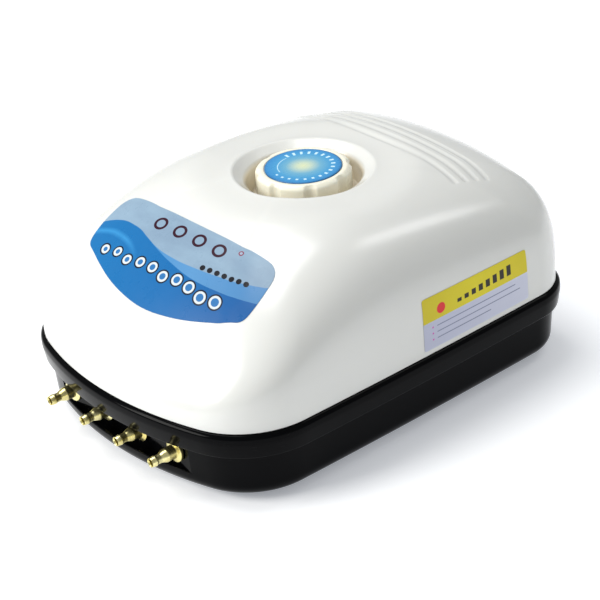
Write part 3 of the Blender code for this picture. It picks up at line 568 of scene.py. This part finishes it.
def fine_shares():
    """Shares of the dome's rings: even along the section, closer together over the grooves."""
    share = np.linspace(0, 0.88, 2000)
    r = np.cos(1.569 * share * 0.98) ** (2 / 6.5)
    z = 0.57 * np.sin(1.569 * share * 0.98) ** (2 / 6.0)
    length = np.concatenate([[0], np.cumsum(np.hypot(np.diff(r), np.diff(z)))])
    span = r * 0.081
    density = np.where((span > 0.034) & (span < 0.066), 3.2, 1.0)
    weight = np.concatenate([[0], np.cumsum(np.diff(length) * density[1:])])
    return np.interp(np.linspace(0, weight[-1], 120), weight, share)


def cover():
    def density(at, length, turn):
        angle = np.degrees(np.arctan2(at[:, 1] - CENTRE[1], at[:, 0]))
        near = (angle > 30) & (angle < 150)
        return length / 0.0021 * np.where(near, 1.7, 1.0) + turn * 12

    rim = Rim(density)
    shares = list(fine_shares())
    near_lip = rim.share_at(0.0395)
    shares += [shares[-1] * (1 - t) + near_lip * t for t in np.linspace(0, 1, 22)[1:]]
    shares += [rim.share_at(r) for r in np.linspace(0.0390, DISH_R, 20)]
    rings = []
    for share in shares:
        ring = rim.dome(share)
        ring[:, 2] -= ridge_depth(ring[:, 0], ring[:, 1])
        rings.append(ring)
    edge = rings[-1][:, 2]
    # dish: rolls over its edge, slopes in and rolls down into the well; drop 1 is the mouth
    slope = bend([(DISH_R, 0.0), (DISH_R - 0.0007, 0.12), (WELL_R + 0.0012, 0.93), (WELL_R, 1.35)],
                 0.0009, 5)
    for r, drop in slope[1:]:
        z = edge + (MOUTH - edge) * min(drop, 1.0) - max(drop - 1, 0) * 0.003
        rings.append(rim.circle(r, z))
    for r, z in bend([(WELL_R, MOUTH - 0.0026), (WELL_R - 0.0004, WELL_FLOOR + 0.0002),
                      (WELL_R - 0.0014, WELL_FLOOR), (0.0040, WELL_FLOOR)], 0.0010):
        rings.append(rim.circle(r, z))
    for r, z in ((0.0040, WELL_FLOOR - COVER_T), (WELL_R + 0.0012, WELL_FLOOR - COVER_T),
                 (WELL_R + 0.0022, WELL_FLOOR - COVER_T + 0.0012),
                 (WELL_R + 0.0024, MOUTH - COVER_T - 0.0008)):
        rings.append(rim.circle(r, z))
    rings += [rim.dome(rim.share_at(r, COVER_T), COVER_T) for r in (DISH_R, 0.0306, 0.0340, 0.0380)]
    rings += [rim.dome(s, COVER_T) for s in np.linspace(0, 1, 24)[:-2][::-1] ** 1.35]
    shell = piece("cover_shell", np.concatenate(rings), ring_faces(len(rings), rim.count, True),
                  WHITE, node="top_cover", slot="gloss_white", sharp=50)
    # screw posts: rods cut to the dome half-way into the wall, joined on and drilled
    half = [rim.dome(s, COVER_T * 0.6) for s in np.linspace(0, 0.97, 40) ** 1.35]
    n = rim.count
    caps = [tuple(range(n)), tuple(range((len(half) - 1) * n, len(half) * n))]
    under = piece("post_limit", np.concatenate(half), ring_faces(len(half), n) + caps, WHITE,
                  body=None)
    posts = cutter("posts", rods=[((x, y, 0.0603), POST_R, 0.0600, "Z") for x, y in SCREWS])
    apply_boolean(posts, under, "INTERSECT")
    apply_boolean(shell, posts, "UNION")
    pilots = [((x, y, PART_Z + 0.0065), PILOT_R, 0.0150, "Z") for x, y in SCREWS]
    apply_boolean(shell, cutter("pilots", rods=pilots), "DIFFERENCE")
    return dress(shell, WHITE, None, None, 50)


# ---------------------------------------------------------------- base
def base():
    rim = Rim(lambda at, length, turn: length / 0.0020 + turn * 16)
    # put a column exactly on each end of the outlet panel
    for side in (-1, 1):
        near = np.abs(rim.at[:, 0] - side * PANEL_HALF) + (rim.at[:, 1] > 0)
        k = int(np.argmin(near))
        rim.at[k, 1] = FRONT_Y + R_FRONT - math.sqrt(R_FRONT ** 2 - PANEL_HALF ** 2)
        rim.at[k, 0] = side * PANEL_HALF
    rim.measure()
    section = [(-0.0087 + BASE_FILLET * math.cos(math.radians(a)),
                BASE_FILLET * (1 + math.sin(math.radians(a)))) for a in range(-90, 1, 9)]
    wall = [PANEL_Z0, PANEL_Z0 + 0.003, PANEL_Z0 + 0.006, PANEL_Z0 + 0.009, PANEL_Z1]
    section += [(-0.0022 + 0.0010 * (z - BASE_FILLET) / (RIM_Z - BASE_FILLET), z) for z in wall]
    section += bend([(-0.0012, RIM_Z - 0.0001), (-0.0012, RIM_Z + 0.0001), (0.0009, RIM_Z),
                     (RIM_OUT, RIM_Z + 0.0062), (0.0016, PART_Z - 0.0012), (0.0002, PART_Z),
                     (-0.0028, PART_Z), (-0.0028, 0.0325), (-0.0044, 0.0325), (-0.0046, 0.0240),
                     (-0.0047, 0.0222), (-0.0050, 0.0090), (-0.0070, 0.0042),
                     (-0.0110, FLOOR_T)], 0.0007, 5)
    rings = [rim.offset(d, z) for d, z in section]
    # inside, the wall stays behind the flat outlet panel
    for (d, z), ring in zip(section, rings):
        if d < -0.0045 and FLOOR_T < z < 0.0223:
            ring[:, 1] = np.maximum(ring[:, 1], PANEL_Y + FLOOR_T)
    n = rim.count
    heights = [z for _, z in section]
    k0, k1 = heights.index(PANEL_Z0), heights.index(PANEL_Z1)
    front = [i for i in range(n) if abs(rim.at[i, 0]) <= PANEL_HALF + 1e-6 and rim.at[i, 1] < 0]
    order = sorted(front, key=lambda i: rim.at[i, 0])
    skip = {(k, i) for k in range(k0, k1) for i in order[:-1]}
    faces = ring_faces(len(rings), n, skip=skip)
    faces += [tuple(range(n)), tuple(range((len(rings) - 1) * n, len(rings) * n))]
    verts = [tuple(v) for v in np.concatenate(rings)]
    loop = [k0 * n + i for i in order] + [k * n + order[-1] for k in range(k0 + 1, k1)]
    loop += [k1 * n + i for i in order[::-1]] + [k * n + order[0] for k in range(k1 - 1, k0, -1)]
    # the window's edge rolls in over a small radius, then runs back to the flat panel
    middle = (PANEL_Z0 + PANEL_Z1) / 2
    last = loop
    for turn in (30, 60, 90, None):
        fresh = []
        for v in loop:
            x, y, z = verts[v]
            roll = min(PANEL_ROLL, 0.7 * (PANEL_Y - y))
            a = math.radians(turn or 90)
            inset = roll * (1 - math.cos(a))
            nx = x - math.copysign(inset, x) if abs(abs(x) - PANEL_HALF) < 1e-6 else x
            nz = z + (inset if z < middle else -inset) if z in (PANEL_Z0, PANEL_Z1) else z
            fresh.append(len(verts))
            verts.append((nx, PANEL_Y if turn is None else y + roll * math.sin(a), nz))
        count = len(loop)
        faces += [(last[i], last[(i + 1) % count], fresh[(i + 1) % count], fresh[i])
                  for i in range(count)]
        last = fresh
    faces.append(tuple(last))
    tray = piece("base_shell", verts, faces, BLACK, node="base_tray", slot="gloss_black", sharp=38)
    # bosses for the cover screws and arm pivots, rails under the core, filter pocket
    posts = [((x, y, PART_Z / 2 + 0.0005), BOSS_R, PART_Z - 0.0010, "Z") for x, y in SCREWS]
    posts += [((x, y, 0.0122), 0.0050, 0.0224, "Z") for x, y in PIVOTS]
    rails = [(x0, x0 + 0.0042, -0.001, 0.025, 0.001, 0.0237) for x0 in (-0.0214, 0.0172)]
    rails.append((-0.0250, 0.0250, 0.0330, 0.0640, 0.0010, 0.0105))
    apply_boolean(tray, cutter("bosses", rails, posts, 32), "UNION")
    holes = [((x, y, 0.0150), SCREW_R, 0.0400, "Z") for x, y in SCREWS]
    holes += [((x, y, 0.0165), SCREW_R, 0.0180, "Z") for x, y in PIVOTS]
    holes += [((x, y, 0.0180), 0.0015, 0.0130, "Z") for x, y in CORE_SCREWS]
    holes += [((0.0, REAR_Y - 0.002, GLAND_Z), 0.0051, 0.0160, "Y")]
    holes += [((x, PANEL_Y, OUTLET_Z), 0.0028, 0.0120, "Y") for x in OUTLET_X]
    holes += [((0.0, 0.0485, 0.0100), 0.0040, 0.0060, "Z")]
    apply_boolean(tray, cutter("small_holes", rods=holes), "DIFFERENCE")
    wide = [((x, y, 0.0020), HEAD_R, 0.0120, "Z") for x, y in SCREWS]
    wide += [((x, y, 0.0), 0.0060, 0.0024, "Z") for x, y in FEET]
    apply_boolean(tray, cutter("wide_holes", [(*FILTER, -0.0020, 0.0082)], wide), "DIFFERENCE")
    return dress(tray, BLACK, None, None, 38)


# ---------------------------------------------------------------- knob and dial
def knob():
    steps = 384
    turn = np.arange(steps) / steps * math.tau
    near = (turn + FLUTE_TURN) % (math.tau / FLUTES) - math.pi / FLUTES
    centre = KNOB_R + FLUTE_OUT
    inside = np.clip(FLUTE_R ** 2 - (centre * np.sin(near)) ** 2, 0, None)
    wall = np.where(inside > 0, centre * np.cos(near) - np.sqrt(inside), KNOB_R)
    cut = KNOB_R - np.minimum(wall, KNOB_R)
    for _ in range(3):
        cut = (np.roll(cut, 1) + 2 * cut + np.roll(cut, -1)) / 4
    seat = DIAL_R + GAP
    outer = bend([(seat, KNOB_TOP - 0.0006), (seat, KNOB_TOP - 0.0001), (KNOB_R - 0.0016, KNOB_TOP),
                  (KNOB_R, KNOB_TOP - 0.0013), (KNOB_R, 0.0728), (KNOB_R - 0.0020, 0.0728),
                  (KNOB_R - 0.0022, KNOB_TOP - 0.0028), (0.0050, KNOB_TOP - 0.0028),
                  (0.0050, 0.0750), (0.0027, 0.0750)], 0.0007, 5)
    profile = [(0, KNOB_TOP - 0.0006)] + outer + [(0.0027, 0.0813), (0, 0.0813)]
    verts, rows = [], []
    for r, z in profile:
        rows.append((len(verts), 1 if r == 0 else steps))
        if r == 0:
            verts.append((*CENTRE, z))
            continue
        share = float(np.clip((r - seat - 0.0006) / (KNOB_R - seat - 0.0010), 0, 1))
        reach = r - cut * share ** 1.5
        verts += [(CENTRE[0] + q * math.cos(a), CENTRE[1] + q * math.sin(a), z)
                  for q, a in zip(reach, turn)]
    return piece("knob_body", verts, lathe_faces(rows, steps), CREAM, "knob", "control_knob",
                 "gloss_white", 40)


def dial_print():
    """Blue disc: dark edge, pale warm centre, a scale of ticks that grow round the dial."""
    m = Mat("dial_print", (0.12, 0.38, 0.72), 0.28)
    u, v = m.uv()
    x, y = m.math("SUBTRACT", u, 0.5), m.math("SUBTRACT", v, 0.5)
    r = m.math("MULTIPLY", m.length(x, y), 2.0)
    base = m.ramp(r, [(0.0, (0.60, 0.65, 0.42)), (0.16, (0.50, 0.60, 0.46)),
                      (0.45, (0.135, 0.37, 0.53)), (0.70, (0.055, 0.295, 0.55)),
                      (0.93, (0.035, 0.235, 0.52)), (1.0, (0.02, 0.14, 0.34))])
    angle = m.math("DIVIDE", m.math("ADD", m.math("ARCTAN2", y, x), math.pi), math.tau)
    # angle runs 0 to 1 round the dial: a thin arc up to start, then ticks out to the edge
    ticks, edge, start = 24.0, 0.83, 0.21
    span = m.math("MULTIPLY", angle, ticks)
    tooth = m.math("ABSOLUTE", m.math("SUBTRACT", m.math("FRACT", span), 0.5))
    step = m.math("DIVIDE", m.math("FLOOR", span), ticks)
    thin = m.math("LESS_THAN", tooth, 0.17)
    reach = m.math("ADD", m.math("MULTIPLY", step, 0.13), 0.03)
    inner = m.math("GREATER_THAN", r, m.math("SUBTRACT", edge, reach))
    outer = m.math("LESS_THAN", r, edge)
    past = m.math("GREATER_THAN", angle, start)
    marks = m.math("MULTIPLY", m.math("MULTIPLY", thin, past), m.math("MULTIPLY", inner, outer))
    ring = m.math("LESS_THAN", m.math("ABSOLUTE", m.math("SUBTRACT", r, 0.66)), 0.012)
    arc = m.math("MULTIPLY", ring, m.math("LESS_THAN", angle, start))
    marks = m.math("MAXIMUM", marks, m.math("MULTIPLY", arc, 0.8))
    m.colour(m.mix(m.math("MULTIPLY", marks, 0.85), base, (0.62, 0.84, 0.93)))
    m.rough(m.noise(300.0), 0.22, 0.34)
    m.bump(m.noise(1500.0), 0.2, 0.00001)
    m.set("Specular IOR Level", 0.30)
    return m.mat


def dial():
    profile = [(0, KNOB_TOP + 0.0001)]
    profile += [(DIAL_R * k / 12, KNOB_TOP + 0.0001) for k in range(1, 12)]
    profile += [(DIAL_R - 0.0003, KNOB_TOP + 0.0001), (DIAL_R - 0.0001, KNOB_TOP + 0.00003),
                (DIAL_R, KNOB_TOP - 0.0001), (DIAL_R, KNOB_TOP - 0.0003), (0, KNOB_TOP - 0.0003)]
    steps = 96
    verts, rows = [], []
    for r, z in profile:
        rows.append((len(verts), 1 if r == 0 else steps))
        verts += [(CENTRE[0] + r * math.cos(math.tau * i / steps),
                   CENTRE[1] + r * math.sin(math.tau * i / steps), z)
                  for i in range(rows[-1][1])]
    uv = [((x - CENTRE[0]) / DIAL_R / 2 + 0.5, (y - CENTRE[1]) / DIAL_R / 2 + 0.5)
          for x, y, z in verts]
    return piece("dial_disc", verts, lathe_faces(rows, steps), dial_print(), "knob", "knob_dial",
                 "dial_blue", 40, uv)


# ---------------------------------------------------------------- printed labels
def rounded(corners, spacing=0.0016, steps=6):
    """Round the corners of a closed loop of (point, radius) and space it evenly."""
    loop = []
    n = len(corners)
    for i, (c, r) in enumerate(corners):
        c, a, b = Vector(c), Vector(corners[i - 1][0]), Vector(corners[(i + 1) % n][0])
        p, q = c + (a - c).normalized() * r, c + (b - c).normalized() * r
        for k in range(steps + 1):
            t = k / steps
            loop.append(p * (1 - t) ** 2 + c * 2 * t * (1 - t) + q * t ** 2)
    even = []
    for p, q in zip(loop, loop[1:] + loop[:1]):
        cuts = max(1, round((q - p).length / spacing))
        even += [tuple(p.lerp(q, k / cuts)) for k in range(cuts)]
    return even


def label(name, edge, centre, key, up, front, mat, node, slot, scale):
    """A film on the cover: edge is a loop of coordinate pairs along the axes key and up."""
    rim = Rim(lambda at, length, turn: length / 0.0016 + turn * 14)
    lane = np.stack([rim.dome(s) for s in np.linspace(0, 1, 500) ** 2.2])
    lane = lane[:, np.where(front(rim.nrm))[0]]
    lane = lane[:, np.argsort(lane[0][:, key])]

    def reach(k, u):
        return Vector([np.interp(u, lane[k][:, key], lane[k][:, i]) for i in range(3)])

    def spot(u, v):
        lo, hi = 0, len(lane) - 1
        while hi - lo > 1:
            mid = (lo + hi) // 2
            lo, hi = (mid, hi) if reach(mid, u)[up] < v else (lo, mid)
        a, b = reach(lo, u), reach(hi, u)
        return a.lerp(b, (v - a[up]) / (b[up] - a[up]))

    rings = 14
    verts, uv, outs = [], [], []
    for r in range(rings + 1):
        k = r / rings
        loop = [centre] if r == 0 else [(centre[0] + (u - centre[0]) * k,
                                         centre[1] + (v - centre[1]) * k) for u, v in edge]
        for u, v in loop:
            p = spot(u, v)
            du = spot(u + 0.0015, v) - spot(u - 0.0015, v)
            dv = spot(u, v + 0.0012) - spot(u, v - 0.0012)
            out = du.cross(dv).normalized()
            if out.dot(p - Vector((*CENTRE, 0.03))) < 0:
                out = -out
            verts.append(p)
            outs.append(out)
            uv.append(((u - centre[0]) / scale + 0.5, (v - centre[1]) / scale + 0.5))
    n, total = len(edge), len(verts)
    lifted = [p + o * PRINT_LIFT for p, o in zip(verts, outs)]
    lifted += [p + o * (PRINT_LIFT + PRINT_T) for p, o in zip(verts, outs)]
    faces = []
    for base_index in (0, total):
        for i in range(n):
            j = (i + 1) % n
            faces.append((base_index, base_index + 1 + i, base_index + 1 + j))
            for r in range(rings - 1):
                a, b = base_index + 1 + r * n, base_index + 1 + (r + 1) * n
                faces.append((a + i, b + i, b + j, a + j))
    a, b = 1 + (rings - 1) * n, total + 1 + (rings - 1) * n
    faces += [(a + i, a + (i + 1) % n, b + (i + 1) % n, b + i) for i in range(n)]
    return piece(name, [tuple(v) for v in lifted], faces, mat, "housing", node, slot, 50, uv * 2)


def curve(m, fac, points):
    """A soft line through (x, y) points between 0 and 1."""
    made = m.tree.nodes.new("ShaderNodeFloatCurve")
    line = made.mapping.curves[0]
    for x, y in points[1:-1]:
        line.points.new(x, y)
    for point, (x, y) in zip(line.points, sorted(points)):
        point.location = (x, y)
    made.mapping.update()
    m.link(fac, made.inputs["Value"])
    return made.outputs["Value"]


def front_print():
    """Silver sky over a pale and a deep blue wave, with a string of outlined bubbles."""
    m = Mat("front_print", (0.10, 0.35, 0.65), 0.26)
    u, v = m.uv()
    mm = 0.001 / FRONT_SCALE

    def at(x, y):
        """Millimetres in plan to the film's UV."""
        return x * mm + 0.5, (y / 1000 - FRONT_MID) / FRONT_SCALE + 0.5

    rise = [at(-50, -52), at(-38, -49.2), at(-32.5, -48.7), at(-25.5, -49.3), at(-19, -51)]
    crest = curve(m, u, rise + [at(-10, -53), at(0, -53.7), at(9, -53.5), at(26, -51.6),
                                at(42, -48.2), at(50, -43.5)])
    deep = curve(m, u, rise + [at(-10, -53.3), at(0, -55.2), at(15, -56.6), at(33, -55.2),
                               at(42, -53.9), at(50, -51)])
    above = m.math("MULTIPLY", m.math("SUBTRACT", v, crest), 700.0, clamp=True)
    over = m.math("MULTIPLY", m.math("SUBTRACT", v, deep), 700.0, clamp=True)
    cloud = m.noise(40.0, 3.0, 0.6, (1.0, 2.5, 1.0))
    silver = m.ramp(cloud, [(0.30, (0.188, 0.272, 0.370)), (0.72, (0.228, 0.330, 0.430))], True)
    pale = m.ramp(u, [(0.35, (0.055, 0.205, 0.43)), (0.62, (0.080, 0.235, 0.455)),
                      (0.9, (0.062, 0.195, 0.40))])
    blue = m.ramp(u, [(0.1, (0.007, 0.130, 0.345)), (0.6, (0.006, 0.113, 0.325)),
                      (0.9, (0.006, 0.085, 0.275))])
    # a pale streak of light under the crest on the left
    middle = curve(m, u, [at(-50, -55.6), at(-43, -54.3), at(-35, -53.5), at(-27.5, -54.4),
                          at(-20, -57.2), at(0, -70), at(50, -90)])
    off = m.math("ABSOLUTE", m.math("SUBTRACT", v, middle))
    streak = m.math("SUBTRACT", 1.0, m.math("MULTIPLY", off, 70.0), clamp=True)
    fade = m.math("MULTIPLY", m.math("SUBTRACT", 0.34, u), 8.0, clamp=True)
    streak = m.math("MULTIPLY", m.math("MULTIPLY", streak, fade), 0.8)
    blue = m.mix(streak, blue, (0.035, 0.245, 0.52))
    look = m.mix(above, m.mix(over, blue, pale), silver)

    def disc(x, y, radius):
        """Depth inside a circle on the sloping film; plan foreshortens its height."""
        cx, cy = at(x, y)
        dx = m.math("SUBTRACT", u, cx)
        dy = m.math("MULTIPLY", m.math("SUBTRACT", v, cy), 1.42)
        return m.math("SUBTRACT", radius * mm, m.length(dx, dy))

    # bubbles that grow to the right, white with a dark outline
    for k in range(10):
        depth = disc(-35.5 + 7.3 * k, -59.3 + 0.7 * math.sin(2.2 * k), 2.1 + 0.09 * k)
        look = m.stamp(look, depth, (0.004, 0.009, 0.024), 0.7 * mm)
        look = m.stamp(look, depth, (0.56, 0.60, 0.62))
        look = m.stamp(look, depth, (0.024, 0.140, 0.355), -1.0 * mm)
    # four dark rings and a small red one on the silver, then a row of small dots
    for k in range(4):
        depth = disc(-17.5 + 11.4 * k, -44.9 + 0.15 * k, 3.5)
        look = m.stamp(look, depth, (0.028, 0.003, 0.012))
        look = m.stamp(look, depth, (0.20, 0.295, 0.395), -1.3 * mm)
    depth = disc(26.0, -41.5, 1.3)
    look = m.stamp(look, depth, (0.20, 0.02, 0.05))
    look = m.stamp(look, depth, (0.27, 0.35, 0.45), -0.5 * mm)
    for k in range(7):
        depth = disc(15.5 + 3.7 * k, -51.9 + 0.40 * k, 1.35)
        look = m.stamp(look, depth, (0.007, 0.007, 0.010))
    m.colour(look)
    m.rough(m.noise(220.0), 0.22, 0.36)
    m.bump(m.noise(900.0), 0.15, 0.00001)
    m.set("Specular IOR Level", 0.22)
    return m.mat


def side_print():
    """A yellow band over a pale panel, with a bar scale, a red dot and fine rules."""
    m = Mat("side_print", (0.70, 0.55, 0.05), 0.32)
    u, v = m.uv()

    def at(x, up):
        return x / SIDE_SCALE + 0.5, up / SIDE_SCALE + 0.5

    def inside(socket, low_edge, high_edge):
        off = m.math("ABSOLUTE", m.math("SUBTRACT", socket, (low_edge + high_edge) / 2))
        return m.math("SUBTRACT", (high_edge - low_edge) / 2, off)

    def bar(x0, x1, y0, y1):
        (u0, v0), (u1, v1) = at(x0, y0), at(x1, y1)
        return m.math("MINIMUM", inside(u, u0, u1), inside(v, v0, v1))

    yellow = m.ramp(u, [(0.0, (0.60, 0.50, 0.02)), (0.5, (0.72, 0.62, 0.02)),
                        (1.0, (0.66, 0.55, 0.02))])
    pale = m.ramp(u, [(0.0, (0.47, 0.49, 0.62)), (1.0, (0.60, 0.62, 0.74))])
    look = m.stamp(pale, m.math("SUBTRACT", v, at(0, 0.0007)[1]), yellow)
    for k in range(8):
        x = -0.0095 + 0.0038 * k
        scale = bar(x, x + 0.0023, 0.0032, 0.0048 + 0.00040 * k)
        look = m.stamp(look, scale, (0.02, 0.018, 0.012))
    cx, cy = at(-0.0180, 0.0046)
    far = m.length(m.math("SUBTRACT", u, cx), m.math("SUBTRACT", v, cy))
    look = m.stamp(look, m.math("SUBTRACT", 0.0022 / SIDE_SCALE, far), (0.72, 0.03, 0.04))
    for k, end in enumerate((0.0215, 0.0240, 0.0080)):
        y = -0.0022 - 0.0026 * k
        look = m.stamp(look, bar(-0.0205, end, y, y + 0.0005), (0.22, 0.24, 0.36))
        look = m.stamp(look, bar(-0.0230, -0.0222, y - 0.0001, y + 0.0007), (0.60, 0.10, 0.45))
    m.colour(look)
    m.rough(m.noise(220.0), 0.26, 0.40)
    m.bump(m.noise(900.0), 0.15, 0.00001)
    m.set("Specular IOR Level", 0.22)
    return m.mat


def labels():
    half = [((0.0, -0.0398), 0.0100), ((0.0450, -0.0388), 0.0065), ((0.0470, -0.0520), 0.0040),
            ((0.0465, -0.0595), 0.0032), ((0.0220, -0.0682), 0.0100), ((0.0, -0.0712), 0.0100)]
    edge = half[::-1] + [((-x, y), r) for (x, y), r in half[1:-1]]
    label("front_film", rounded(edge), (0.0, FRONT_MID), 0, 1, lambda n: n[:, 1] < -0.05,
          front_print(), "front_label", "print_blue", FRONT_SCALE)
    box = [((0.0062, 0.0534), 0.001), ((0.0616, 0.0526), 0.001), ((0.0620, 0.0316), 0.001),
           ((0.0062, 0.0316), 0.001)]
    label("side_film", rounded(box, steps=3), (0.0335, 0.0424), 1, 2, lambda n: n[:, 0] > 0.9,
          side_print(), "side_label", "print_yellow", SIDE_SCALE)


# ---------------------------------------------------------------- outlets, feet, gland, filter
def outlets():
    tube = OUTLET_TIP - PANEL_Y
    profile = [(0.0014, -0.0100), (0.0014, -tube - 0.0006), (0.0017, -tube), (0.0018, -tube),
               (0.0021, -tube - 0.0020), (0.0018, -tube - 0.0026), (0.0018, -tube - 0.0044),
               (0.0027, -tube - 0.0070), (0.0027, 0.0020), (0.0045, 0.0016), (0.0045, GAP),
               (0.0025, GAP), (0.0025, -0.0100)]
    for k, x in enumerate(OUTLET_X):
        turned(f"barb_{k + 1}", bend(profile, 0.00018, 3), (x, PANEL_Y, OUTLET_Z), "-Y", BRASS,
               node=f"outlet_barb_{k + 1}", slot="brass", sharp=40)


def underside():
    for k, (x, y) in enumerate(FEET):
        profile = bend([(0, 0.0009), (0.0057, 0.0009), (0.0057, -0.0010), (0.0047, -FOOT_H),
                        (0.0030, -FOOT_H), (0.0026, -0.0016), (0, -0.0016)], 0.0005, 4)
        turned(f"foot_{k + 1}", profile, (x, y, 0), "Z", RUBBER, closed=False,
               node=f"rubber_foot_{k + 1}", slot="rubber", sharp=40)
    gland = bend([(0.0032, 0.0030), (0.0060, 0.0030), (0.0067, 0.0022), (0.0067, 0.0007),
                  (0.0048, 0.0006), (0.0048, -0.0052), (0.0064, -0.0054), (0.0060, -0.0068),
                  (0.0032, -0.0068)], 0.0006, 4)
    turned("gland", gland, (0.0, REAR_Y - 0.0016, GLAND_Z), "Y", RUBBER, node="cord_gland",
           slot="rubber", sharp=45)


# ---------------------------------------------------------------- diaphragms
def diaphragms():
    """Rubber diaphragms: in the pump the rim stays in the housing and the hub goes with the swing
    arm.

    Each is made of six closed wedges.
    """
    # (radius, distance from the pump's middle) from the hub's bore out to the rim and back
    profile = bend([(0.0018, 0.0297), (0.0058, 0.0297), (0.0060, 0.0260), (0.0092, 0.0258),
                    (0.0112, 0.0278), (0.0126, 0.0284), (0.0140, 0.0276), (0.0150, 0.0245),
                    (0.0178, 0.0242), (0.0178, 0.0228), (0.0142, 0.0228), (0.0126, 0.0267),
                    (0.0096, 0.0244), (0.0018, 0.0243)], 0.0006, 3)
    wedges, steps, n = 6, 10, len(profile)
    for s, side in ((-1, "left"), (1, "right")):
        for k in range(wedges):
            verts = []
            for i in range(steps + 1):
                a = math.tau * (k + i / steps - 0.5) / wedges
                verts += [(s * h, PUMP_Y + r * math.cos(a), AXLE_Z + r * math.sin(a))
                          for r, h in profile]
            faces = ring_faces(steps + 1, n)
            faces += [tuple(range(n)), tuple(range(steps * n, (steps + 1) * n))]
            ob = piece(f"diaphragm_{side}_{k + 1}", verts, faces, RUBBER, body=None)
            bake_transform(ob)
            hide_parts(f"diaphragm_{side}")


# ---------------------------------------------------------------- CAD nodes that stay
def dress_cad():
    looks = {"rubber": RUBBER, "brass": BRASS, "steel": STEEL, "gloss_black": BLACK,
             "iron": laminations(), "copper": windings(), "felt": felt(), "board": board(),
             "silicone": silicone(),
             "nylon": speckled("natural_nylon", (0.70, 0.69, 0.62), 0.42, 0.05, grain=1000.0).mat,
             "magnet": speckled("sintered_ferrite", (0.07, 0.07, 0.08), 0.55, 0.2, scale=300.0,
                                relief=0.0001).mat,
             "pot_grey": speckled("moulded_resin", (0.20, 0.21, 0.23), 0.40, 0.08).mat}
    for part in frame["record"]["subparts"]:
        if part["material_slot"] in looks:
            node = frame["nodes"][part["node"]]
            node.data.materials.clear()
            node.data.materials.append(looks[part["material_slot"]])


# ---------------------------------------------------------------- stage, light, camera
def floor():
    m = Mat("studio_floor", (0.93, 0.93, 0.93), 0.55)
    m.set("Emission Color", (0.88, 0.92, 1.0, 1)).set("Emission Strength", 0.30)
    m.colour(m.ramp(m.noise(3.0), [(0.3, (0.92, 0.92, 0.92)), (0.7, (0.94, 0.94, 0.94))]))
    half = 3.0
    mesh = bpy.data.meshes.new("studio_floor")
    mesh.from_pydata([(-half, -half, 0), (half, -half, 0), (half, half, 0), (-half, half, 0)], [],
                     [(0, 1, 2, 3)])
    ob = bpy.data.objects.new("studio_floor", mesh)
    mesh.materials.append(m.mat)
    bpy.context.scene.collection.objects.link(ob)


def area_light(name, place, aim, size, power, colour=(1, 1, 1)):
    lamp = bpy.data.lights.new(name, "AREA")
    lamp.shape = "RECTANGLE"
    lamp.size, lamp.size_y = size
    lamp.energy = power
    lamp.color = colour
    ob = bpy.data.objects.new(name, lamp)
    ob.location = place
    ob.rotation_euler = (Vector(aim) - Vector(place)).to_track_quat("-Z", "Y").to_euler()
    bpy.context.scene.collection.objects.link(ob)


def studio():
    world = bpy.data.worlds.new("studio")
    world.use_nodes = True
    world.node_tree.nodes["Background"].inputs["Color"].default_value = (0.97, 0.99, 1.0, 1)
    world.node_tree.nodes["Background"].inputs["Strength"].default_value = 0.42
    bpy.context.scene.world = world
    middle = (0.0, 0.0, 0.045)
    area_light("key", (-0.45, -0.95, 0.70), middle, (0.7, 0.5), 12.2, (1.0, 0.99, 0.96))
    area_light("top", (-0.30, -0.08, 1.0), middle, (0.6, 0.6), 6.0)
    area_light("crease", (0.21, 0.62, 0.80), middle, (0.14, 0.42), 0.85)
    bpy.context.scene.view_settings.view_transform = "Standard"


def camera():
    azimuth, elevation, roll = (math.radians(a) for a in (51.504, 28.52, -4.721))
    distance, lens = 0.8996, 138.25
    back = Vector((math.sin(azimuth) * math.cos(elevation),
                   -math.cos(azimuth) * math.cos(elevation), math.sin(elevation)))
    right = Vector((math.cos(azimuth), math.sin(azimuth), 0))
    up = back.cross(right)
    side = right * math.cos(roll) + up * math.sin(roll)
    top = up * math.cos(roll) - right * math.sin(roll)
    cam = bpy.data.cameras.new("camera")
    cam.lens, cam.sensor_width = lens, 36.0
    cam.shift_x, cam.shift_y = 0.0195, -0.0356
    cam.clip_start, cam.clip_end = 0.01, 20.0
    ob = bpy.data.objects.new("camera", cam)
    place = Vector((0, 0, 0.040)) + MOVE + back * distance
    ob.matrix_world = Matrix.Translation(place) @ Matrix((side, top, back)).transposed().to_4x4()
    bpy.context.scene.collection.objects.link(ob)
    bpy.context.scene.camera = ob


camera()
studio()
floor()
dress_cad()
cover()
base()
knob()
dial()
labels()
outlets()
underside()
diaphragms()
